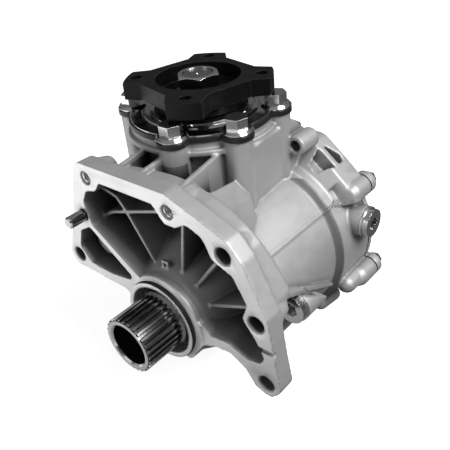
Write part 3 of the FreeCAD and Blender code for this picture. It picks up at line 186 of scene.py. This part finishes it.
# The room in which the drain boss is cut under the gusset: least X, reach along Y, greatest Z
DRAIN_ROOM_X = 50
DRAIN_ROOM_Y = (50, 90)
DRAIN_ROOM_Z = 30

# Ridges along the parting line: their angles, half their distance, their section and course along Y
RIDGE_ANGLES = (37.1, 217.1)
RIDGE_OFFSET = 1.0
RIDGE_SECTION = ((-0.5, -0.8), (-0.28, 0.55), (0.28, 0.55), (0.5, -0.8))
RIDGE_COURSE = [(42, 63.5), (119.6, 63.5), (123.4, 67.9), (140, 68.7), (152, 72.3), (161.6, 74.5)]

# The camera stands where the photograph was taken from
CAMERA_AT = (0.25030, -0.19814, 0.26792)
CAMERA_AZIMUTH = 43.155
CAMERA_ELEVATION = 32.139
CAMERA_ROLL = -5.755
CAMERA_LENS = 47.163
CAMERA_SENSOR = 36.0
CAMERA_NEAR = 0.01

# The floor: how pale it looks, how much light it throws back, and its own glow near the object
FLOOR_SEEN = 0.80
FLOOR_FOR_LIGHT = 0.06
FLOOR_GLOW = 0.78
FLOOR_HALF = 3.0
FLOOR_GAP = 0.02
GLOW_REACH = (0.25, 0.9)

# Metal sees the floor white in front of the object and dark behind it: direction, reach and shares
MIRROR_AHEAD = (-0.68, -0.73, 0.0)
MIRROR_REACH = (-0.05, 0.35)
MIRROR_SHARES = (0.03, 1.0)

# The surroundings: their strength, and the tones below and above, by height from 0 to 1
SKY_STRENGTH = 0.35
SKY_TONES = ((0.40, 0.05), (0.90, 0.70))

# Soft boxes: name, place, size and watts; all of them point at the middle of the object
OBJECT_MIDDLE = (0.0, 0.07, 0.04)
SOFT_BOXES = [
    ("key_box", (0.70, 0.10, 0.75), 0.5, 12.0),
    ("front_box", (-0.30, -0.90, 0.40), 0.6, 1.2),
    ("bounce_card", (-0.40, -0.45, -0.095), 0.6, 0.6),
]


class Nodes:
    """Short forms for building a node material."""

    def __init__(self, name):
        self.material = bpy.data.materials.new(name)
        self.material.use_nodes = True
        self.tree = self.material.node_tree
        self.shader = self.tree.nodes["Principled BSDF"]
        self.coordinates = self.tree.nodes.new("ShaderNodeTexCoord").outputs["Object"]

    def add(self, kind, **settings):
        node = self.tree.nodes.new(kind)
        for key, value in settings.items():
            setattr(node, key, value)
        return node

    def link(self, start, end):
        self.tree.links.new(start, end)

    def feed(self, value, socket):
        if isinstance(value, bpy.types.NodeSocket):
            self.link(value, socket)
        else:
            socket.default_value = value

    def maths(self, operation, first, second):
        node = self.add("ShaderNodeMath", operation=operation)
        self.feed(first, node.inputs[0])
        self.feed(second, node.inputs[1])
        return node.outputs[0]

    def times(self, first, second):
        return self.maths("MULTIPLY", first, second)

    def below(self, first, second):
        return self.maths("LESS_THAN", first, second)

    def band(self, value, low, high):
        """1 between two places, given in millimetres."""
        return self.times(self.below(value, high * MM), self.below(low * MM, value))

    def noise(self, scale, detail, rough=0.5):
        node = self.add("ShaderNodeTexNoise")
        node.inputs["Scale"].default_value = scale
        node.inputs["Detail"].default_value = detail
        node.inputs["Roughness"].default_value = rough
        self.link(self.coordinates, node.inputs["Vector"])
        return node.outputs["Fac"]

    def varied(self, scale, detail, low=0.0, high=1.0):
        """A value that wanders between two others over the surface."""
        return self.spread(self.noise(scale, detail), *NOISE_RANGE, low, high)

    def spread(self, value, low, high, to_low=0.0, to_high=1.0):
        """Maps one range of values to another, and holds it there."""
        node = self.add("ShaderNodeMapRange")
        self.feed(value, node.inputs["Value"])
        for name, number in (("From Min", low), ("From Max", high), ("To Min", to_low), ("To Max", to_high)):
            node.inputs[name].default_value = number
        return node.outputs["Result"]

    def blend(self, fac, first, second):
        node = self.add("ShaderNodeMix", data_type="RGBA")
        self.feed(fac, node.inputs["Factor"])
        self.feed(first, node.inputs[6])
        self.feed(second, node.inputs[7])
        return node.outputs[2]

    def bump(self, height, strength, distance, normal):
        node = self.add("ShaderNodeBump")
        node.inputs["Strength"].default_value = strength
        node.inputs["Distance"].default_value = distance
        self.link(height, node.inputs["Height"])
        self.link(normal, node.inputs["Normal"])
        return node.outputs["Normal"]

    def rounded(self, radius):
        """The normal with edges rounded by a radius."""
        node = self.add("ShaderNodeBevel", samples=4)
        node.inputs["Radius"].default_value = radius
        return node.outputs["Normal"]

    def split(self, vector):
        node = self.add("ShaderNodeSeparateXYZ")
        self.link(vector, node.inputs[0])
        return node.outputs

    def normal(self):
        return self.add("ShaderNodeNewGeometry").outputs["Normal"]

    def edges(self, rounded, low=0.0005, high=0.05):
        """1 along the edges that a bevel rounds, 0 on the flats."""
        dot = self.add("ShaderNodeVectorMath", operation="DOT_PRODUCT")
        self.link(self.normal(), dot.inputs[0])
        self.link(rounded, dot.inputs[1])
        return self.spread(self.maths("SUBTRACT", 1.0, dot.outputs["Value"]), low, high)

    def shade(self, distance, low, high):
        """0 deep in hollows and corners, 1 out in the open."""
        node = self.add("ShaderNodeAmbientOcclusion", samples=6)
        node.inputs["Distance"].default_value = distance
        return self.spread(node.outputs["AO"], low, high)


def grey(value):
    """A colour without hue."""
    return (value, value, value, 1.0)


def cast_places(n, place):
    """1 on milled surfaces, on the nose and in the space of the bell, each by itself, and 0 elsewhere."""
    forward = n.below(n.split(n.normal())["Y"], FACING_FORWARD)
    plane = n.times(forward, n.below(place["Y"], FACE_MARGIN * MM))
    across = n.maths("ADD", n.times(place["X"], place["X"]), n.times(place["Z"], place["Z"]))
    nose = n.times(n.below(across, (NOSE_SHOULDER * MM) ** 2), n.below(place["Y"], NOSE_LENGTH * MM))
    bell = n.times(n.below(place["Y"], BELL_DEPTH * MM), n.below(place["Z"], BELL_TOP * MM))
    return n.maths("MAXIMUM", plane, n.times(nose, NOSE_MILLED)), nose, bell


def cast_painted_shade(n, place, nose, bell):
    """Painted shade: how dark the hollows, the corners, the depth of the bell and the rear step are made."""
    past_crest = n.maths("GREATER_THAN", place["Y"], (RIB_CREST + CREST_MARGIN) * MM)
    depth = n.spread(place["Y"], RIB_CREST * MM, BELL_FLOOR * MM, *BELL_DARK)
    deep = n.times(depth, n.times(bell, past_crest))
    hollow = n.maths("SUBTRACT", 1.0, n.shade(HOLLOW_REACH * MM, *HOLLOW_OPEN))
    corner = n.maths("SUBTRACT", 1.0, n.shade(CORNER_REACH * MM, *CORNER_OPEN))
    # Painted shade on the rear step, below its top
    step = n.times(n.band(place["Y"], *SHOULDER), n.below(place["Z"], SHOULDER_TOP * MM))
    dark = n.times(hollow, n.spread(bell, 0.0, 1.0, *HOLLOW_DARK))
    for other in (n.times(deep, hollow), n.times(corner, CORNER_DARK), n.times(step, STEP_DARK)):
        dark = n.maths("MAXIMUM", dark, other)
    return n.times(dark, n.spread(nose, 0.0, 1.0, *NOSE_SHARE))


def cast_aluminium():
    """Blasted casting with a milled mating face and nose; painted shade darkens its hollows, corners, bell
    and rear step.
    """
    n = Nodes("cast_aluminium")
    place = n.split(n.coordinates)
    face, nose, bell = cast_places(n, place)
    base = n.blend(face, grey(CAST_TONE), grey(MILLED_TONE))
    # Painted shade: the hollows, corners, bell and rear step darken towards one tone
    base = n.blend(cast_painted_shade(n, place, nose, bell), base, grey(PAINTED_SHADE_TONE))
    toned = n.add("ShaderNodeHueSaturation")
    n.link(base, toned.inputs["Color"])
    n.link(n.varied(38.0, 3.0, 0.94, 1.06), toned.inputs["Value"])
    n.link(toned.outputs[0], n.shader.inputs["Base Color"])
    rough = n.varied(160.0, 2.0, *CAST_ROUGHNESS)
    n.link(n.maths("SUBTRACT", rough, n.times(face, MILLED_GLOSS)), n.shader.inputs["Roughness"])
    n.link(n.spread(face, 0.0, 1.0, *CAST_METALLIC), n.shader.inputs["Metallic"])
    n.shader.inputs["Specular IOR Level"].default_value = 0.25
    grain = n.maths("ADD", *[n.times(n.noise(*noise), share) for *noise, share in CAST_GRAINS])
    n.link(n.bump(grain, 0.45, 0.0003, n.rounded(CAST_EASING * MM)), n.shader.inputs["Normal"])
    return n.material


def metal(name, value, roughness, spread=0.06, edge=0.0004, bright=1.5, groove_shade=0.0, bump=0.04):
    """Worked steel: slightly uneven tone and gloss, a painted highlight along its eased edges, and painted
    shade in grooves where a reach for them is given.
    """
    n = Nodes(name)
    rounded = n.rounded(edge)
    low, high = grey(value * (1.0 - spread)), grey(min(1.0, value * (1.0 + spread)))
    tone = n.blend(n.varied(60.0, 2.0), low, high)
    # Painted highlight: eased edges are made paler, up to bright times the tone
    tone = n.blend(n.edges(rounded), tone, grey(min(1.0, value * bright)))
    # Painted shade: where a reach is given, grooves are darkened towards one tone
    if groove_shade:
        tone = n.blend(n.shade(groove_shade, 0.50, 0.92), grey(GROOVE_SHADE_TONE), tone)
    n.link(tone, n.shader.inputs["Base Color"])
    n.shader.inputs["Metallic"].default_value = 1.0
    n.link(n.varied(STEEL_GRAIN, 2.0, roughness * 0.9, roughness * 1.1), n.shader.inputs["Roughness"])
    n.link(n.bump(n.noise(STEEL_GRAIN * 2, 2.0), bump, 0.0001, rounded), n.shader.inputs["Normal"])
    return n.material


def coated(name, value, roughness, edge_highlight, edge, bump, gloss=0.5):
    """Black coating or rubber: satin, a little paler along its edges as a painted highlight."""
    n = Nodes(name)
    n.shader.inputs["Specular IOR Level"].default_value = gloss
    rounded = n.rounded(edge)
    tone = n.blend(n.varied(80.0, 3.0), grey(value * 0.8), grey(value * 1.2))
    # Painted highlight: the edges are made paler
    tone = n.blend(n.times(n.edges(rounded, 0.002, 0.12), 0.7), tone, grey(edge_highlight))
    n.link(tone, n.shader.inputs["Base Color"])
    n.link(n.varied(300.0, 3.0, roughness * 0.85, roughness * 1.15), n.shader.inputs["Roughness"])
    n.link(n.bump(n.noise(1800.0, 2.0), bump, 0.0002, rounded), n.shader.inputs["Normal"])
    return n.material


def new_piece(name, mesh, body, material):
    """An object for a mesh, with its material, body and slot."""
    thing = bpy.data.objects.new(name, mesh)
    bpy.context.scene.collection.objects.link(thing)
    mesh.materials.clear()
    mesh.materials.append(material)
    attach(thing, body)
    return thing


def made(build, name):
    """The mesh of what was built."""
    mesh = bpy.data.meshes.new(name)
    build.to_mesh(mesh)
    build.free()
    return mesh


def settle(thing):
    """Makes the result of the modifiers the piece's own mesh."""
    graph = bpy.context.evaluated_depsgraph_get()
    mesh = bpy.data.meshes.new_from_object(thing.evaluated_get(graph))
    thing.modifiers.clear()
    thing.data = mesh
    return mesh


def about(points, axis, x, other, radius, low=-1000.0, high=1000.0):
    """Which points lie within a radius of a line along an axis, between two places on it."""
    across = points[:, [0, 2]] if axis == "Y" else points[:, [0, 1]]
    along = points[:, 1] if axis == "Y" else points[:, 2]
    near = numpy.hypot(across[:, 0] - x, across[:, 1] - other) < radius
    return near & (along > low) & (along < high)


def machined(points):
    """Which points lie on machined places, which keep their sharp edges."""
    kept = (points[:, 1] < SEAT_MARGIN) | (points[:, 1] > JOINT_PLANE - SEAT_MARGIN)
    kept |= points[:, 2] > TOWER_TOP - SEAT_MARGIN
    for x, z, radius, depth in PLATE_HOLES:
        kept |= about(points, "Y", x, z, radius + SEAT_MARGIN, -1, depth + 1)
    kept |= about(points, "Y", 0, 0, NOSE_RADIUS)
    kept |= about(points, "Z", OUTPUT_X, OUTPUT_Y, CUP_RADIUS, 60)
    kept |= about(points, "Y", **DRAIN_SEAT)
    kept |= (points[:, 0] > FILLER_FACE_X) & (numpy.abs(points[:, 1] - FILLER_Y) < FILLER_RADIUS)
    kept |= about(points, "Y", **EAR_HOLE)
    return kept


def ball(centre, radius):
    """Points spread over a sphere."""
    points = []
    for i in range(BALL_POINTS):
        up = 1 - (2 * i + 1) / BALL_POINTS
        turn = math.radians(GOLDEN_ANGLE) * i
        across = math.sqrt(1 - up * up)
        outwards = Vector((across * math.cos(turn), across * math.sin(turn), up))
        points.append(Vector(centre) + radius * outwards)
    return points


def added_forms():
    """Corner points of the ledges and lobes that stand on the housing."""
    forms = [[Vector(p) for p in corners] for corners in LEDGES]
    forms += [ball(start, radius) + ball(end, radius) for start, end, radius in LOBES]
    for angle in COVER_BOSS_ANGLES:
        x = COVER_BOSS_RADIUS * math.cos(math.radians(angle))
        z = COVER_BOSS_RADIUS * math.sin(math.radians(angle))
        forms.append([point for y, radius in COVER_BOSS_ENDS for point in ball((x, y, z), radius)])
    return forms


def with_forms(source, forms):
    """The mesh of a node joined by the hulls of the added forms."""
    build = bmesh.new()
    build.from_mesh(source)
    for corners in forms:
        points = [build.verts.new(p * MM) for p in corners]
        hull = bmesh.ops.convex_hull(build, input=points)
        spare = [e for e in hull["geom_interior"] if isinstance(e, bmesh.types.BMVert)]
        bmesh.ops.delete(build, geom=spare, context="VERTS")
    return made(build, "joined")


def ridge_foot(y):
    """Radius of the surface under the ridges of the parting line."""
    return numpy.interp(y, [p[0] for p in RIDGE_COURSE], [p[1] for p in RIDGE_COURSE])


def leaf_top(y):
    """Height of the top of the gusset over the drain boss."""
    return LEAF_HEIGHT - LEAF_FALL * y


def within(values, reach):
    """Which values lie between two places."""
    return (values > reach[0]) & (values < reach[1])


def domed(x, y, z):
    """X and Z after the boss beside the parting line is given its domed end."""
    reach = numpy.hypot(x, z)
    turned = numpy.degrees(numpy.arctan2(z, x)) - SHORT_BOSS_ANGLE
    share = numpy.clip((y - SHORT_BOSS_END) / DOME_LENGTH, 0.0, 1.0)
    limit = ridge_foot(y) + DOME_HEIGHT * numpy.sqrt(share * (2.0 - share))
    near = (numpy.abs(turned) < SHORT_BOSS_HALF) & within(y, SHORT_BOSS_REACH) & (reach > limit)
    factor = numpy.where(near, limit / reach, 1.0)
    return x * factor, z * factor


def undercut(x, y, z):
    """Z after the drain boss is cut back under its gusset."""
    leaf = leaf_top(y) - LEAF_THICKNESS
    barrel = numpy.sqrt(numpy.clip(BARREL_RADIUS ** 2 - x ** 2, 0.0, None))
    room = (x > DRAIN_ROOM_X) & within(y, DRAIN_ROOM_Y) & (z < DRAIN_ROOM_Z)
    over = room & (z > leaf) & (z > barrel)
    return numpy.where(over, numpy.maximum(leaf, barrel), z)


def lowered(points):
    """The points of the housing after both of its bosses are cut back."""
    x, y, z = points.T.copy()
    x, z = domed(x, y, z)
    return numpy.stack([x, y, undercut(x, y, z)], axis=1)


def skinned(thing):
    """Gives a piece one closed skin over all of its forms."""
    skin = thing.modifiers.new("skin", "REMESH")
    skin.mode = "VOXEL"
    skin.voxel_size = SKIN_GRID * MM
    return settle(thing)


def eased(thing, points):
    """Smooths a skin apart from its machined places, and thins it."""
    group = thing.vertex_groups.new(name="eased")
    chosen = numpy.flatnonzero(~machined(points))
    group.add([int(i) for i in chosen], 1.0, "REPLACE")
    easing = thing.modifiers.new("easing", "SMOOTH")
    easing.factor = SKIN_EASING
    easing.iterations = SKIN_PASSES
    easing.vertex_group = group.name
    thinning = thing.modifiers.new("thinning", "DECIMATE")
    thinning.ratio = SKIN_KEEP
    return settle(thing)


def casting(node, material, forms=()):
    """A cast body with its corners filled and its edges eased, apart from its machined places."""
    source = with_forms(frame["nodes"][node].data, forms)
    thing = new_piece(node + "_casting", source, "case", material)
    mesh = skinned(thing)
    points = numpy.empty(len(mesh.vertices) * 3)
    mesh.vertices.foreach_get("co", points)
    points = points.reshape(-1, 3) / MM
    if forms:
        points = lowered(points)
        mesh.vertices.foreach_set("co", (points * MM).ravel())
        mesh.update()
    mesh = eased(thing, points)
    mesh.materials.clear()
    mesh.materials.append(material)
    mesh.polygons.foreach_set("use_smooth", [True] * len(mesh.polygons))
    mesh.set_sharp_from_angle(angle=math.radians(SHARP_ANGLE))
    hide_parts(node)


def thread(name, x, z, radius, depth, material):
    """An inside thread, as one ridge that winds along Y."""
    build = bmesh.new()
    turns = (depth - THREAD_RUNOUT) / THREAD_PITCH
    rings = []
    for i in range(int(turns * THREAD_STEPS)):
        turn = 2 * math.pi * i / THREAD_STEPS
        y = THREAD_START + THREAD_PITCH * i / THREAD_STEPS
        ring = []
        for rise, shift in THREAD_PROFILE:
            out = radius - rise
            place = Vector((x + out * math.cos(turn), y + shift * THREAD_PITCH, z + out * math.sin(turn)))
            ring.append(build.verts.new(place * MM))
        rings.append(ring)
    for first, second in zip(rings, rings[1:]):
        for k in range(len(THREAD_PROFILE) - 1):
            build.faces.new((first[k], second[k], second[k + 1], first[k + 1]))
    return new_piece(name, made(build, name), "case", material)


def ridge(name, angle, offset, material):
    """One fine ridge along the parting line."""
    build = bmesh.new()
    out = Vector((math.cos(math.radians(angle)), 0, math.sin(math.radians(angle))))
    across = Vector((-out.z, 0, out.x))
    rings = []
    for y, radius in RIDGE_COURSE:
        ring = []
        for side, rise in RIDGE_SECTION:
            place = out * (radius + rise) + across * (offset + side) + Vector((0, y, 0))
            ring.append(build.verts.new(place * MM))
        rings.append(ring)
    sides = len(RIDGE_SECTION)
    for first, second in zip(rings, rings[1:]):
        for k in range(sides):
            after = (k + 1) % sides
            build.faces.new((first[k], second[k], second[after], first[after]))
    build.faces.new(rings[0])
    build.faces.new(rings[-1][::-1])
    bmesh.ops.recalc_face_normals(build, faces=build.faces)
    return new_piece(name, made(build, name), "case", material)


def gusset_leaf(material):
    """The plate of the gusset over the drain boss, with eased edges."""
    build = bmesh.new()
    top = [build.verts.new(Vector((x, y, leaf_top(y))) * MM) for x, y in LEAF_OUTLINE]
    low = [build.verts.new(Vector((x, y, leaf_top(y) - LEAF_THICKNESS)) * MM) for x, y in LEAF_OUTLINE]
    build.faces.new(top)
    build.faces.new(low[::-1])
    for k in range(len(top)):
        build.faces.new((top[k - 1], low[k - 1], low[k], top[k]))
    bmesh.ops.recalc_face_normals(build, faces=build.faces)
    bmesh.ops.bevel(build, geom=build.edges[:], offset=LEAF_EASING * MM, segments=2, affect="EDGES")
    return new_piece("gusset_leaf", made(build, "gusset_leaf"), "case", material)


def assign(materials):
    """Gives each CAD node the material of its slot."""
    slots = {s["node"]: s["material_slot"] for s in frame["record"]["subparts"]}
    for name, node in frame["nodes"].items():
        node.data.materials.clear()
        node.data.materials.append(materials[slots[name]])


def camera():
    """Camera at the photograph's place, turned by azimuth, elevation and roll."""
    data = bpy.data.cameras.new("camera")
    data.lens = CAMERA_LENS
    data.sensor_width = CAMERA_SENSOR
    data.clip_start = CAMERA_NEAR
    thing = bpy.data.objects.new("camera", data)
    bpy.context.scene.collection.objects.link(thing)
    azimuth = math.radians(CAMERA_AZIMUTH)
    elevation = math.radians(CAMERA_ELEVATION)
    flat = math.cos(elevation)
    ahead = Vector((-math.sin(azimuth) * flat, math.cos(azimuth) * flat, -math.sin(elevation)))
    level = Vector((math.cos(azimuth), math.sin(azimuth), 0.0))
    above = level.cross(ahead)
    roll = math.radians(CAMERA_ROLL)
    right = level * math.cos(roll) + above * math.sin(roll)
    up = above * math.cos(roll) - level * math.sin(roll)
    turn = Matrix((right, up, -ahead)).transposed().to_4x4()
    thing.matrix_world = Matrix.Translation(CAMERA_AT) @ turn
    bpy.context.scene.camera = thing


def area_light(name, at, towards, size, energy):
    """A square soft box that the camera doesn't see."""
    data = bpy.data.lights.new(name, "AREA")
    data.shape = "SQUARE"
    data.size = size
    data.energy = energy
    thing = bpy.data.objects.new(name, data)
    bpy.context.scene.collection.objects.link(thing)
    thing.location = at
    thing.rotation_euler = (Vector(towards) - Vector(at)).to_track_quat("-Z", "Y").to_euler()
    thing.visible_camera = False


def lights():
    """All soft boxes, pointed at the object."""
    for name, at, size, energy in SOFT_BOXES:
        area_light(name, at, OBJECT_MIDDLE, size, energy)


def world():
    """Soft surroundings, darker below the horizon; plain white where the camera sees them."""
    thing = bpy.data.worlds.new("studio")
    bpy.context.scene.world = thing
    thing.use_nodes = True
    tree = thing.node_tree
    tree.nodes.clear()
    out = tree.nodes.new("ShaderNodeOutputWorld")
    soft = tree.nodes.new("ShaderNodeBackground")
    white = tree.nodes.new("ShaderNodeBackground")
    mix = tree.nodes.new("ShaderNodeMixShader")
    rays = tree.nodes.new("ShaderNodeLightPath")
    where = tree.nodes.new("ShaderNodeTexCoord")
    parts = tree.nodes.new("ShaderNodeSeparateXYZ")
    height = tree.nodes.new("ShaderNodeMapRange")
    ramp = tree.nodes.new("ShaderNodeValToRGB")
    height.inputs["From Min"].default_value = -1.0
    tree.links.new(where.outputs["Generated"], parts.inputs[0])
    tree.links.new(parts.outputs["Z"], height.inputs["Value"])
    tree.links.new(height.outputs[0], ramp.inputs[0])
    for element, (position, tone) in zip(ramp.color_ramp.elements, SKY_TONES):
        element.position = position
        element.color = grey(tone)
    tree.links.new(ramp.outputs[0], soft.inputs["Color"])
    soft.inputs["Strength"].default_value = SKY_STRENGTH
    white.inputs["Color"].default_value = grey(1.0)
    tree.links.new(rays.outputs["Is Camera Ray"], mix.inputs[0])
    tree.links.new(soft.outputs[0], mix.inputs[1])
    tree.links.new(white.outputs[0], mix.inputs[2])
    tree.links.new(mix.outputs[0], out.inputs[0])


def floor():
    """Matt floor with a soft shadow: white to the camera, and in metal where it lies in front."""
    mesh = bpy.data.meshes.new("floor")
    level = CAD_BOX[0][2] - FLOOR_GAP
    corners = [(x * FLOOR_HALF, y * FLOOR_HALF, level) for x, y in ((-1, -1), (1, -1), (1, 1), (-1, 1))]
    mesh.from_pydata(corners, [], [(0, 1, 2, 3)])
    thing = bpy.data.objects.new("floor", mesh)
    bpy.context.scene.collection.objects.link(thing)
    n = Nodes("floor_paint")
    n.shader.inputs["Roughness"].default_value = 0.9
    n.shader.inputs["Specular IOR Level"].default_value = 0.0
    rays = n.add("ShaderNodeLightPath")
    ahead = n.add("ShaderNodeVectorMath", operation="DOT_PRODUCT")
    n.link(n.coordinates, ahead.inputs[0])
    ahead.inputs[1].default_value = MIRROR_AHEAD
    mirrored = n.spread(ahead.outputs["Value"], *MIRROR_REACH, *MIRROR_SHARES)
    seen = n.maths("MAXIMUM", rays.outputs["Is Camera Ray"], rays.outputs["Is Transmission Ray"])
    seen = n.maths("MAXIMUM", seen, n.times(rays.outputs["Is Glossy Ray"], mirrored))
    n.link(n.blend(seen, grey(FLOOR_FOR_LIGHT), grey(FLOOR_SEEN)), n.shader.inputs["Base Color"])
    middle = n.add("ShaderNodeVectorMath", operation="LENGTH")
    n.link(n.coordinates, middle.inputs[0])
    glow = n.spread(middle.outputs["Value"], *GLOW_REACH, FLOOR_GLOW, 1.0)
    n.shader.inputs["Emission Color"].default_value = grey(1.0)
    n.link(n.times(glow, seen), n.shader.inputs["Emission Strength"])
    mesh.materials.append(n.material)


MATERIALS = {
    "cast_aluminium": cast_aluminium(),
    "black_steel": coated("black_steel", 0.004, 0.36, 0.07, edge=0.0006, bump=0.04, gloss=0.14),
    "dark_steel": metal("dark_steel", 0.45, 0.17, spread=0.10, edge=0.00015, bright=1.8, groove_shade=0.003,
                        bump=0.01),
    "gear_steel": metal("gear_steel", 0.35, 0.30),
    "bearing_steel": metal("bearing_steel", 0.60, 0.18),
    "bright_steel": metal("bright_steel", 0.60, 0.14, spread=0.05, edge=0.0003),
    "zinc_steel": metal("zinc_steel", 0.70, 0.16, spread=0.05, edge=0.0003, bright=1.4),
    "washer_aluminium": metal("washer_aluminium", 0.75, 0.30),
    "sealing_rubber": coated("sealing_rubber", 0.010, 0.45, 0.03, edge=0.0004, bump=0.10),
}
assign(MATERIALS)
casting("main_housing", MATERIALS["cast_aluminium"], added_forms())
casting("rear_cover", MATERIALS["cast_aluminium"])
for number, (x, z, radius, depth) in enumerate(THREADED):
    thread("thread_" + str(number), x, z, radius, depth, MATERIALS["washer_aluminium"])
gusset_leaf(MATERIALS["cast_aluminium"])
for number, angle in enumerate(RIDGE_ANGLES):
    ridge("ridge_" + str(number) + "_upper", angle, RIDGE_OFFSET, MATERIALS["cast_aluminium"])
    ridge("ridge_" + str(number) + "_lower", angle, -RIDGE_OFFSET, MATERIALS["cast_aluminium"])
camera()
lights()
world()
floor()

bpy.context.scene.view_settings.view_transform = "Standard"
